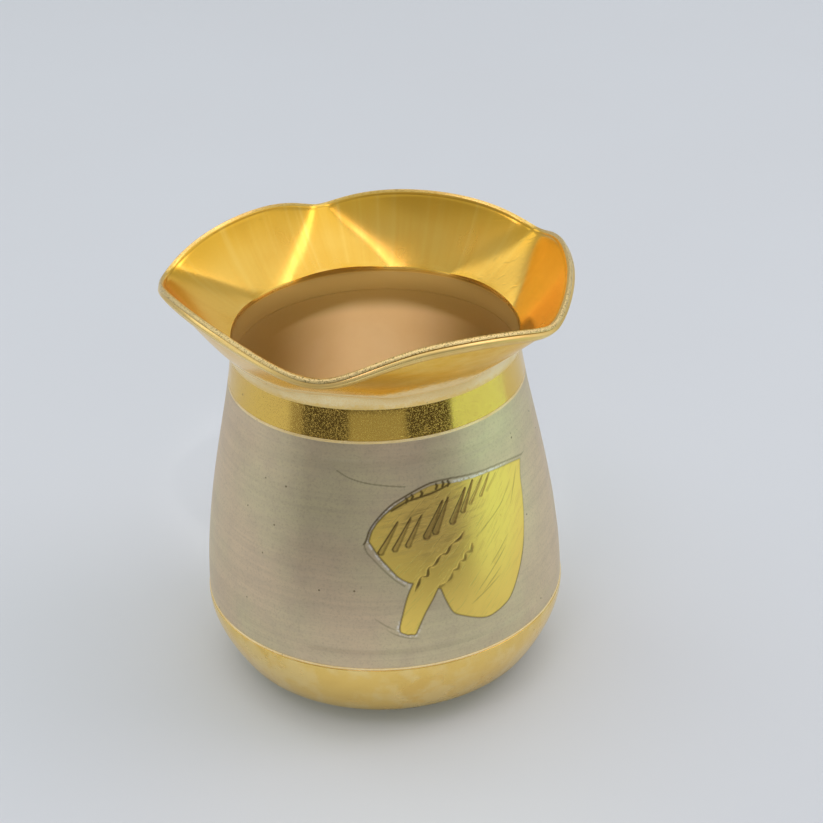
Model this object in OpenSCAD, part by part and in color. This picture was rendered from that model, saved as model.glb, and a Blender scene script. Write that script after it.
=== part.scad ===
// Frill-mouthed brass water pot (lota), built up from spun shells that lap into each other.
// Millimetres. +Z is up, the origin is the centre of the flat that the pot stands on,
// and the engraved leaf is on the front right, between -Y and +X.

/* [Body] */
// Radius of the pot at its widest ring
belly_r = 30; // [28:0.5:32]
// Height of the widest ring above the table
belly_z = 14.4; // [13:0.1:16]
// Radius of the flat that the pot stands on
foot_r = 18; // [16:0.5:20]
// Radius where the underside turns up into the belly
knuckle_r = 26; // [25.5:0.1:26.5]
// Height where the underside turns up into the belly
knuckle_z = 4.4; // [4:0.1:5]
// Outer radius at the top of the satin wall
shoulder_r = 24.2; // [23.5:0.1:25]
// Height of the top of the satin wall
shoulder_z = 52.8; // [50:0.2:56]
// Outer radius at the top of the polished neck
neck_r = 23.5; // [23:0.1:24]
// Height of the polished neck band
neck_h = 6.4; // [5:0.2:8]
// Thickness of the spun sheet
sheet_t = 0.9; // [0.8:0.05:1.2]

/* [Joints between the shells] */
// Height of each half-thickness lap
lap_h = 3; // [2:0.5:4]
// Height of the solder line left open above each lap
solder_h = 0.35; // [0.25:0.05:0.5]
// How far the base pan stands proud of the satin wall
pan_proud = 0.15; // [0.1:0.05:0.25]
// Leg of the solder fillet under the lip
fillet_leg = 1.1; // [0.8:0.1:1.4]

/* [Frilled lip] */
// Distance up the flare from the throat edge to the rim
flare_len = 13.6; // [12:0.2:15]
// Direction of each pressed corner round the rim, in degrees
corner_at = [36, 106, 170, 256, 324]; // [0:1:359]
// Upward slope of the flare at each corner, in degrees
corner_slope = [35, 38, 37, 38, 43]; // [30:1:45]
// How softly each corner is rounded, in degrees round the rim
corner_soft = [4, 12, 12, 10, 4]; // [2:1:15]
// Upward slope at the middle of the lobe that follows each corner, in degrees
lobe_slope = [60, 61, 56, 57, 56]; // [50:1:64]
// How far the folds narrow from the throat to the corner, as a part of the even spacing
fold_pinch = 0.8; // [0:0.05:0.9]

/* [Rim band] */
// Thickness of the strip soldered under the rim
band_t = 0.6; // [0.4:0.1:0.8]
// Width of the strip along the flare
band_w = 1.6; // [1.2:0.1:2]
// How far the strip is set back from the rim's edge
band_back = 0.2; // [0.1:0.1:0.4]

/* [Engraved leaf] */
// Direction that the leaf faces, in degrees from +X
leaf_at = -64; // [-80:1:-50]
// Depth to which the satin skin is scraped away inside the leaf
leaf_depth = 0.12; // [0.08:0.02:0.16]
// Depth of the tapered cuts between the veins
cut_depth = 0.28; // [0.2:0.02:0.3]
// Width of a tapered cut at its thick end
cut_w = 0.55; // [0.4:0.05:0.7]

/* [Hidden] */
$fn = 96;

half_t = sheet_t / 2;
pan_lip_z = belly_z + solder_h;
wall_z = pan_lip_z + solder_h;
collar_z = shoulder_z + solder_h;
root_z = shoulder_z + neck_h;
throat_r = neck_r - 0.11;
throat_z = root_z + 1.55;
skirt_h = 2.2;
stations = 120;

polished = [0.93, 0.74, 0.33];
satin = [0.68, 0.61, 0.50];
bright_line = [0.95, 0.87, 0.66];
milled = [0.86, 0.72, 0.42];

// ---- curves ----

// Points along a cubic curve with end points a and d and handles b and c
function cubic(a, b, c, d, steps) =
    [for (i = [0 : steps])
        let (t = i / steps, s = 1 - t)
            s * s * s * a + 3 * s * s * t * b + 3 * s * t * t * c + t * t * t * d];

function reversed(path) = [for (i = [len(path) - 1 : -1 : 0]) path[i]];

// Outward normal of a profile that runs upwards, at its point number i
function normal_at(path, i) =
    let (a = path[max(i - 1, 0)],
         b = path[min(i + 1, len(path) - 1)],
         d = b - a)
        [d.y, -d.x] / norm(d);

// The profile moved along its own normals: outwards when d is positive
function offset_path(path, d) =
    [for (i = [0 : len(path) - 1]) path[i] + d * normal_at(path, i)];

// Points of a profile that lie between two heights, with its ends cut exactly there
function radius_at(path, z) = lookup(z, [for (p = path) [p.y, p.x]]);
function stretch(path, z0, z1) =
    concat([[radius_at(path, z0), z0]],
           [for (p = path) if (p.y > z0 + 0.05 && p.y < z1 - 0.05) p],
           [[radius_at(path, z1), z1]]);

// Outer profile of the underside, from the standing flat out to the belly
under_path = concat(
    cubic([foot_r, 0], [foot_r + 2.8, 0],
          [knuckle_r - 0.4, knuckle_z - 0.55], [knuckle_r, knuckle_z], 6),
    [for (i = [1 : 8])
        cubic([knuckle_r, knuckle_z], [knuckle_r + 1.15, knuckle_z + 1.75],
              [belly_r, belly_z - 3.65], [belly_r, belly_z], 8)[i]]);

// Outer profile of the satin wall, from the belly up to the shoulder
wall_path = cubic([belly_r, belly_z], [belly_r, belly_z + 14.3],
                  [shoulder_r + 1.3, shoulder_z - 7.7], [shoulder_r, shoulder_z], 18);

// Outer profile of the neck, easing from the wall's lean to nearly upright
neck_path = cubic([shoulder_r, shoulder_z], [shoulder_r - 0.38, shoulder_z + 2.2],
                  [neck_r, root_z - 2], [neck_r, root_z], 6);

// A turned shell between two offsets of one profile
module turned_shell(path, outside, inside) {
    rotate_extrude()
        polygon(concat(offset_path(path, outside), reversed(offset_path(path, inside))));
}

// ---- frilled lip ----

function wrap(i) = (i + len(corner_at)) % len(corner_at);
function corner_angle(i) = corner_at[wrap(i)] + (i >= len(corner_at) ? 360 : 0);

// Number of the corner that a direction follows
function sector(a) =
    let (before = [for (i = [0 : len(corner_at) - 1]) if (corner_at[i] <= a) i])
        len(before) == 0 ? len(corner_at) - 1 : before[len(before) - 1];

// Where a direction lies between its two corners, from 0 to 1
function sector_span(k) = (corner_at[wrap(k + 1)] - corner_at[k] + 360) % 360;
function sector_place(a, k) = ((a - corner_at[k] + 360) % 360) / sector_span(k);

// Direction at the rim of the straight line that leaves the throat at direction a
function rim_angle(a) =
    let (k = sector(a), v = sector_place(a, k))
        corner_at[k] + sector_span(k) * (v - fold_pinch / 360 * 180 / PI * sin(360 * v));

// Slope of the flare at the rim: low at the corners, steep on the lobes
function rim_slope(a) =
    let (k = sector(a),
         v = sector_place(a, k),
         near = v <= 0.5 ? k : wrap(k + 1),
         half = sector_span(k) / 2,
         x = half * (1 - abs(2 * v - 1)),
         e = corner_soft[near],
         rise = (sqrt(x * x + e * e) - e) / (sqrt(half * half + e * e) - e))
        lobe_slope[k] + (corner_slope[near] - lobe_slope[k]) * pow(1 - rise, 2.1);

// A point given by direction, radius and height
function polar(a, r, z) = [r * cos(a), r * sin(a), z];

// Point on the flare: u is the throat direction, s runs from 0 at the throat to flare_len
// at the rim, and depth is measured square to the sheet, downwards
function flare_point(u, s, depth) =
    let (a = rim_angle(u),
         slope = rim_slope(a),
         t = s / flare_len,
         drop = [depth * sin(slope), -depth * cos(slope)],
         low = polar(u, throat_r + drop[0], throat_z + drop[1]),
         high = polar(a, throat_r + flare_len * cos(slope) + drop[0],
                      throat_z + flare_len * sin(slope) + drop[1]))
        low + (high - low) * t;

// Closed ring with one cross-section at each station
module ring_of(sections) {
    n = len(sections);
    m = len(sections[0]);
    points = [for (section = sections, p = section) p];
    faces = [for (i = [0 : n - 1], j = [0 : m - 1])
        let (a = i * m, b = ((i + 1) % n) * m, k = (j + 1) % m)
            each [[a + j, b + j, b + k], [a + j, b + k, a + k]]];
    polyhedron(points, faces);
}

function station(i) = i * 360 / stations;

function lip_section(u) = concat(
    [polar(u, neck_r - sheet_t, root_z - skirt_h),
     polar(u, neck_r - sheet_t, root_z + 0.4),
     polar(u, neck_r - sheet_t + 0.25, throat_z - 0.5)],
    [for (s = [0, 0.3, 0.65, 1]) flare_point(u, s * flare_len, 0)],
    [for (s = [1, 0.65, 0.3, 0]) flare_point(u, s * flare_len, sheet_t)],
    [polar(u, neck_r, root_z),
     polar(u, neck_r - half_t, root_z),
     polar(u, neck_r - half_t, root_z - skirt_h)]);

function band_section(u) = [
    flare_point(u, flare_len - band_back, sheet_t),
    flare_point(u, flare_len - band_back - band_w, sheet_t),
    flare_point(u, flare_len - band_back - band_w * 0.9, sheet_t + band_t * 0.6),
    flare_point(u, flare_len - band_back - band_w * 0.7, sheet_t + band_t),
    flare_point(u, flare_len - band_back, sheet_t + band_t)];

function fillet_section(u) = [
    polar(u, neck_r, root_z - fillet_leg),
    polar(u, neck_r + 0.2, root_z - fillet_leg * 0.35),
    flare_point(u, fillet_leg * 0.5, sheet_t + 0.2),
    flare_point(u, fillet_leg * 1.2, sheet_t),
    flare_point(u, 0, sheet_t),
    polar(u, neck_r, root_z)];

// ---- engraved leaf ----

// Heart-shaped leaf with its stem, seen square on: across the pot and up the wall
leaf_outline = [
    [14.6, 44.0], [13.9, 40.0], [14.1, 36.4], [13.7, 33.0], [13.2, 29.6], [11.9, 25.5],
    [9.9, 22.3], [6.5, 21.1], [2.5, 21.4], [-0.6, 23.0], [-2.3, 25.6], [-3.4, 28.6],
    [-6.0, 24.6], [-7.7, 21.3], [-10.3, 21.6], [-9.8, 24.1], [-8.8, 27.0], [-7.5, 29.7],
    [-9.9, 30.8], [-12.5, 33.5], [-14.2, 37.0], [-13.1, 39.6], [-11.0, 41.9],
    [-8.8, 43.6], [-6.0, 44.9], [-2.7, 45.5], [1.0, 45.4], [5.4, 45.2], [9.6, 44.9]];

// Tapered cuts: the sharp end of each, then the thick end
leaf_cuts = [
    [[-9.7, 39.6], [-12.7, 35.2]], [[-7.6, 40.3], [-10.7, 35.7]], [[-5.6, 40.2], [-8.7, 36.0]],
    [[-1.7, 42.0], [-5.5, 37.2]], [[-0.5, 42.4], [-4.4, 37.5]], [[1.9, 43.5], [-1.3, 38.4]],
    [[3.9, 44.4], [0.8, 39.8]], [[6.0, 44.1], [3.2, 40.6]]];

module facing_leaf() {
    rotate([90, 0, leaf_at + 90])
        translate([0, 0, 10])
            linear_extrude(height = 30)
                children();
}

module cut_outline(sharp, thick) {
    along = (thick - sharp) / norm(thick - sharp);
    across = [-along.y, along.x] * cut_w / 2;
    polygon([sharp, thick + across, thick + along * cut_w, thick - across]);
}

// ---- sub-parts ----

// Pressed pan with the polished knuckle; its upper edge laps outside the wall
module base_pan() {
    lap = stretch(wall_path, belly_z, pan_lip_z);
    low = stretch(under_path, belly_z - lap_h, belly_z);
    pan = concat([for (p = under_path) if (p.y < belly_z - lap_h) p], [low[0]]);
    skin = concat(under_path, [lap[len(lap) - 1]]);
    inner = offset_path(pan, -sheet_t);
    color(polished)
        rotate_extrude()
            polygon(concat(
                [[0, 0]],
                [for (p = offset_path(skin, pan_proud)) [p.x, max(p.y, 0)]],
                [lap[len(lap) - 1] - [half_t, 0]],
                reversed(offset_path(low, -half_t)),
                reversed([for (p = inner) if (p.y > sheet_t) p]),
                [[0, sheet_t]]));
}

// Line of solder between the pan's edge and the wall
module base_solder() {
    color(bright_line)
        turned_shell(stretch(wall_path, pan_lip_z, wall_z), pan_proud / 2, -half_t);
}

// Tapering satin wall with a half-thickness lap at each end and the leaf cut into its face
module body_wall() {
    lower = stretch(under_path, belly_z - lap_h, belly_z);
    middle = stretch(wall_path, belly_z, wall_z);
    face = stretch(wall_path, wall_z, shoulder_z);
    tail = concat(lower, [middle[1]]);
    full = concat(tail, [for (p = face) if (p.y > wall_z) p]);
    waist = stretch(wall_path, wall_z, shoulder_z - lap_h);
    color(satin)
        difference() {
            rotate_extrude()
                polygon(concat(
                    offset_path(tail, -half_t),
                    offset_path(face, 0),
                    reversed(offset_path(stretch(wall_path, shoulder_z - lap_h, shoulder_z),
                                         -half_t)),
                    reversed(offset_path(waist, -sheet_t)),
                    reversed(offset_path(lower, -sheet_t))));
            intersection() {
                turned_shell(face, 1, -leaf_depth);
                facing_leaf() polygon(leaf_outline);
            }
            intersection() {
                turned_shell(face, 1, -cut_depth);
                facing_leaf()
                    for (cut = leaf_cuts) cut_outline(cut[0], cut[1]);
            }
        }
}

// Line of solder between the wall and the neck
module neck_solder() {
    color(bright_line)
        turned_shell(stretch(neck_path, shoulder_z, collar_z), 0.05, -half_t);
}

// Polished neck band; its lower skirt fits inside the wall and its top takes the lip
module neck_collar() {
    skirt = stretch(wall_path, shoulder_z - lap_h, shoulder_z);
    gap = stretch(neck_path, shoulder_z, collar_z);
    band = stretch(neck_path, collar_z, root_z);
    socket = stretch(neck_path, root_z - skirt_h, root_z);
    plain = stretch(neck_path, shoulder_z, root_z - skirt_h);
    color(polished)
        rotate_extrude()
            polygon(concat(
                offset_path(skirt, -half_t),
                [gap[1] - [half_t, 0]],
                offset_path(band, 0),
                reversed(offset_path(socket, -half_t)),
                reversed(offset_path(plain, -sheet_t)),
                reversed(offset_path(skirt, -sheet_t))));
}

// Fillet of solder in the corner under the lip
module lip_solder() {
    color(bright_line)
        ring_of([for (i = [0 : stations - 1]) fillet_section(station(i))]);
}

// Flared sheet pressed into five lobes, with a short skirt that fits the neck
module frilled_lip() {
    color(polished)
        ring_of([for (i = [0 : stations - 1]) lip_section(station(i))]);
}

// Strip soldered round the outside, just under the rim's milled edge
module rim_band() {
    color(milled)
        ring_of([for (i = [0 : stations - 1]) band_section(station(i))]);
}

base_pan();
base_solder();
body_wall();
neck_solder();
neck_collar();
lip_solder();
frilled_lip();
rim_band();
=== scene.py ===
"""Small frill-mouthed brass water pot: satin barrel, polished neck, base and flare, engraved leaf.

Everything is in metres in the pot's own frame: +Z is up, the origin is the centre of the flat
that the pot stands on, -Y is the front, and the leaf faces the front right.
"""

import logging
import math
from collections.abc import Sequence
from dataclasses import dataclass, field
from enum import Enum

import bmesh
import bpy
import numpy as np
from mathutils import Matrix, Vector
from mathutils.kdtree import KDTree


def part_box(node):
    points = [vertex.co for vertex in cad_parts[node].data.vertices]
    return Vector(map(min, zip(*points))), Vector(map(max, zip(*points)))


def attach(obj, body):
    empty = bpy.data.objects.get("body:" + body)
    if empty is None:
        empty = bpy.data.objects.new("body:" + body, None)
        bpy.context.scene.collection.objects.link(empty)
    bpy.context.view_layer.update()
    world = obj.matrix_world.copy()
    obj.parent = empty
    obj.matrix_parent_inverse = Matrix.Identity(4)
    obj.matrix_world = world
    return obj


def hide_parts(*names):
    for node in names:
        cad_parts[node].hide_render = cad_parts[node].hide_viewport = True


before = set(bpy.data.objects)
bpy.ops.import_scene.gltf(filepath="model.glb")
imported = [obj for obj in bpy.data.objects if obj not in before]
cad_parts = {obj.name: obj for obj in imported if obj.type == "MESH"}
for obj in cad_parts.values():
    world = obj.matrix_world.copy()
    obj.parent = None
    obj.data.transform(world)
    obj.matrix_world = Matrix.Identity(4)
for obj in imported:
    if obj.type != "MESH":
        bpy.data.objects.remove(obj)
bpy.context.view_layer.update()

MM = 0.001
BODY = "root"
log = logging.getLogger("water_pot")

Rgb = tuple[float, float, float]
Spot = tuple[float, float, float]
Socket = bpy.types.NodeSocket
Thing = bpy.types.Object


# ---------------------------------------------------------------- curves and outlines


def cubic(a: tuple, b: tuple, c: tuple, d: tuple, steps: int) -> np.ndarray:
    """Samples a cubic curve.

    Args:
        a: first end point, as radius and height.
        b: handle of the first end.
        c: handle of the last end.
        d: last end point.
        steps: number of equal parameter steps.

    Returns:
        An array of steps + 1 points.
    """
    t = np.linspace(0.0, 1.0, steps + 1)[:, None]
    s = 1.0 - t
    a, b, c, d = (np.array(p, float) for p in (a, b, c, d))
    return s**3 * a + 3 * s * s * t * b + 3 * s * t * t * c + t**3 * d


def offset_path(path: np.ndarray, distance: float) -> np.ndarray:
    """Moves an upward-running profile along its own normals.

    Args:
        path: points as radius and height.
        distance: how far to move; outwards when positive.

    Returns:
        The moved points.
    """
    along = np.gradient(path, axis=0)
    along /= np.linalg.norm(along, axis=1)[:, None]
    return path + distance * np.column_stack([along[:, 1], -along[:, 0]])


def stretch(path: np.ndarray, low: float, high: float, step: float) -> np.ndarray:
    """Resamples the part of a profile between two heights.

    Args:
        path: points as radius and height, with rising heights.
        low: height of the first point.
        high: height of the last point.
        step: largest rise between two points.

    Returns:
        Evenly spaced points along that part.
    """
    count = max(1, math.ceil((high - low) / step - 1e-6))
    z = np.linspace(low, high, count + 1)
    return np.column_stack([np.interp(z, path[:, 1], path[:, 0]), z])


def joined(*runs: np.ndarray) -> np.ndarray:
    """Joins runs of points into one list and drops points that repeat.

    Args:
        runs: the runs, in order.

    Returns:
        The joined points.
    """
    points = np.vstack(runs)
    keep = np.r_[True, np.linalg.norm(np.diff(points, axis=0), axis=1) > 2e-6]
    return points[keep]


def fade(value: np.ndarray, start: float, end: float) -> np.ndarray:
    """Goes smoothly from 0 at start to 1 at end.

    Args:
        value: what the fade follows.
        start: the value up to which the result is 0.
        end: the value from which it is 1; below start for a fade the other way.

    Returns:
        The share for each value.
    """
    t = np.clip((value - start) / (end - start), 0.0, 1.0)
    return t * t * (3 - 2 * t)


@dataclass(frozen=True)
class PotProfile:
    """The pot's outer profile, with its sizes read from the fixed frame."""

    foot_r: float = 18.0 * MM
    knuckle: tuple[float, float] = (26.0 * MM, 4.4 * MM)
    belly: tuple[float, float] = (30.0 * MM, 14.4 * MM)
    shoulder: tuple[float, float] = (24.2 * MM, 52.8 * MM)
    neck_r: float = 23.5 * MM
    root_z: float = 59.2 * MM
    sheet: float = 0.9 * MM
    solder: float = 0.35 * MM
    lap: float = 3.0 * MM

    @classmethod
    def from_frame(cls) -> "PotProfile":
        """Reads the belly, the seams and the neck's top from the frame's own nodes."""
        wall_low, wall_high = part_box("body_wall")
        seam_low, seam_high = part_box("base_solder")
        solder = seam_high.z - seam_low.z
        return cls(
            belly=(wall_high.x, seam_low.z - solder),
            shoulder=(24.2 * MM, wall_high.z),
            root_z=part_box("neck_collar")[1].z,
            solder=solder,
            lap=seam_low.z - solder - wall_low.z,
        )

    def under(self) -> np.ndarray:
        """Returns the underside's profile from the standing flat out to the belly."""
        kr, kz = self.knuckle
        br, bz = self.belly
        low = cubic((self.foot_r, 0.0), (self.foot_r + 2.8 * MM, 0.0),
                    (kr - 0.4 * MM, kz - 0.55 * MM), (kr, kz), 14)
        high = cubic((kr, kz), (kr + 1.15 * MM, kz + 1.75 * MM), (br, bz - 3.65 * MM), (br, bz), 22)
        return joined(low, high)

    def wall(self) -> np.ndarray:
        """Returns the barrel's profile from the belly up to the shoulder."""
        br, bz = self.belly
        sr, sz = self.shoulder
        return cubic((br, bz), (br, bz + 14.3 * MM), (sr + 1.3 * MM, sz - 7.7 * MM), (sr, sz), 600)

    def neck(self) -> np.ndarray:
        """Returns the neck's profile from the shoulder up to the flare's root."""
        sr, sz = self.shoulder
        return cubic((sr, sz), (sr - 0.38 * MM, sz + 2.2 * MM),
                     (self.neck_r, self.root_z - 2.0 * MM), (self.neck_r, self.root_z), 24)

    def inside(self, points: np.ndarray) -> np.ndarray:
        """Tells which points lie on the pot's inner faces.

        Args:
            points: places in the pot's frame.

        Returns:
            1 for each point that is most of a sheet's thickness behind the outer profile.
        """
        path = joined(self.under(), self.wall(), self.neck())
        skin = np.interp(points[:, 2], path[:, 1], path[:, 0])
        behind = np.hypot(points[:, 0], points[:, 1]) < skin - 0.7 * self.sheet
        return (behind & (points[:, 2] > 0.8 * self.sheet)).astype(float)

    def painted_shade_and_tarnish(self, points: np.ndarray) -> np.ndarray:
        """Tells how much painted shade darkens the inside: most near the mouth and at the two sides.

        Args:
            points: places in the pot's frame.

        Returns:
            The share of painted shade at each place.
        """
        x, y, z = points.T
        turn = np.degrees(np.arctan2(y, x))
        # painted shade: darker at the two sides of the inside and just under the mouth
        sides = fade(np.abs(np.abs(turn) - 90.0), 6.0, 52.0) * fade(z, 3.0 * MM, 18.0 * MM)
        mouth = fade(z, self.root_z - 7.0 * MM, self.root_z - 3.5 * MM)
        return np.clip(sides + mouth, 0.0, 1.0)


# ---------------------------------------------------------------- bench work


@dataclass(frozen=True)
class Sweep:
    """One turn of the spin tool: how far it turns, in degrees, and in how many steps."""

    degrees: float
    steps: int


class Bench:
    """The modelling moves that every piece is made with."""

    @staticmethod
    def clear() -> None:
        """Leaves edit mode and deselects everything."""
        if bpy.context.object and bpy.context.object.mode != "OBJECT":
            bpy.ops.object.mode_set(mode="OBJECT")
        bpy.ops.object.select_all(action="DESELECT")

    @staticmethod
    def turned(name: str, outline: np.ndarray, sweeps: tuple[Sweep, ...],
               start: float = 0.0) -> Thing:
        """Draws a closed outline point by point and spins it round the pot's axis.

        Args:
            name: name of the new piece.
            outline: points as radius and height, once round the piece's section.
            sweeps: the turns that together make a full circle.
            start: direction of the drawn outline, in degrees from +X.

        Returns:
            The closed piece, with its place in its mesh.
        """
        Bench.clear()
        turn = math.radians(start)
        spots = [Vector((r * math.cos(turn), r * math.sin(turn), z)) for r, z in outline]
        on_axis = max(abs(outline[0][0]), abs(outline[-1][0])) < 1e-9
        if not on_axis:
            spots.append(spots[0])
        bpy.ops.mesh.primitive_plane_add(size=MM, location=spots[0])
        piece = bpy.context.object
        piece.name = piece.data.name = name
        bpy.ops.object.mode_set(mode="EDIT")
        bpy.ops.mesh.select_all(action="SELECT")
        bpy.ops.mesh.merge(type="CENTER")
        for before, after in zip(spots, spots[1:]):
            bpy.ops.mesh.extrude_region_move(TRANSFORM_OT_translate={"value": after - before})
        bpy.ops.mesh.select_all(action="SELECT")
        for sweep in sweeps:
            bpy.ops.mesh.spin(steps=sweep.steps, angle=math.radians(sweep.degrees),
                              center=(0.0, 0.0, 0.0), axis=(0.0, 0.0, -1.0))
        Bench.close_up(piece)
        return piece

    @staticmethod
    def ring_loft(name: str, rings: list[np.ndarray]) -> Thing:
        """Extrudes a circle ring by ring and sets each ring to its own shape.

        Args:
            name: name of the new piece.
            rings: closed rings of equally many points, in order round the section.

        Returns:
            The closed tube, with its place in its mesh.
        """
        Bench.clear()
        count = len(rings[0])
        bpy.ops.mesh.primitive_circle_add(vertices=count, radius=30 * MM)
        piece = bpy.context.object
        piece.name = piece.data.name = name
        bpy.ops.object.mode_set(mode="EDIT")
        bpy.ops.mesh.select_all(action="SELECT")
        shape = bmesh.from_edit_mesh(piece.data)
        station = shape.verts.layers.int.new("station")
        for number, vert in enumerate(shape.verts):
            vert[station] = number
            vert.co = rings[0][number]
        for ring in rings[1:] + rings[:1]:
            bmesh.update_edit_mesh(piece.data)
            bpy.ops.mesh.extrude_region_move()
            shape = bmesh.from_edit_mesh(piece.data)
            station = shape.verts.layers.int["station"]
            for vert in shape.verts:
                if vert.select:
                    vert.co = ring[vert[station]]
        bmesh.update_edit_mesh(piece.data)
        Bench.close_up(piece)
        piece.data.attributes.remove(piece.data.attributes["station"])
        return piece

    @staticmethod
    def close_up(piece: Thing) -> None:
        """Merges doubled points, turns the faces outwards and bakes the place into the mesh.

        Args:
            piece: the piece, still in edit mode.
        """
        bpy.ops.mesh.select_all(action="SELECT")
        bpy.ops.mesh.remove_doubles(threshold=0.002 * MM)
        bpy.ops.mesh.dissolve_degenerate(threshold=0.0005 * MM)
        bpy.ops.mesh.select_all(action="SELECT")
        bpy.ops.mesh.normals_make_consistent(inside=False)
        bpy.ops.object.mode_set(mode="OBJECT")
        bpy.ops.object.transform_apply(location=True, rotation=True, scale=True)

    @staticmethod
    def smooth(piece: Thing, degrees: float) -> None:
        """Shades a piece smooth except over sharp edges.

        Args:
            piece: the piece.
            degrees: the angle.
        """
        Bench.clear()
        piece.select_set(True)
        bpy.context.view_layer.objects.active = piece
        bpy.ops.object.shade_smooth_by_angle(angle=math.radians(degrees))

    @staticmethod
    def points(piece: Thing) -> np.ndarray:
        """Returns the piece's points as an array."""
        flat = np.empty(len(piece.data.vertices) * 3, np.float32)
        piece.data.vertices.foreach_get("co", flat)
        return flat.reshape(-1, 3).astype(float)

    @staticmethod
    def set_points(piece: Thing, points: np.ndarray) -> None:
        """Moves the piece's points to new places."""
        piece.data.vertices.foreach_set("co", points.astype(np.float32).ravel())
        piece.data.update()

    @staticmethod
    def mark(piece: Thing, name: str, values: np.ndarray) -> None:
        """Stores a number or a vector for each point, for the piece's material to read.

        Args:
            piece: the piece.
            name: the attribute's name.
            values: one number or vector for each point.
        """
        kind, slot = ("FLOAT", "value") if values.ndim == 1 else ("FLOAT_VECTOR", "vector")
        layer = piece.data.attributes.new(name, kind, "POINT")
        layer.data.foreach_set(slot, values.astype(np.float32).ravel())

    @staticmethod
    def mark_inside(piece: Thing, profile: PotProfile) -> None:
        """Stores where the piece shows the pot's inside, and how much painted shade darkens it.

        Args:
            piece: the piece.
            profile: the pot's profile.
        """
        points = Bench.points(piece)
        Bench.mark(piece, "inside", profile.inside(points))
        Bench.mark(piece, "painted_shade_and_tarnish", profile.painted_shade_and_tarnish(points))

    @staticmethod
    def deliver(piece: Thing, node: str, slot: str, material: bpy.types.Material) -> Thing:
        """Dresses a piece, puts it in the frame in place of its node and reports it.

        Args:
            piece: the finished piece.
            node: the frame's node that the piece stands for.
            slot: the record's material slot; not used.
            material: the piece's finish.

        Returns:
            The same piece.
        """
        piece.data.materials.clear()
        piece.data.materials.append(material)
        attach(piece, BODY)
        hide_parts(node)
        log.info("%s stands for %s, %d faces", piece.name, node, len(piece.data.polygons))
        return piece


# ---------------------------------------------------------------- shader work


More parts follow.
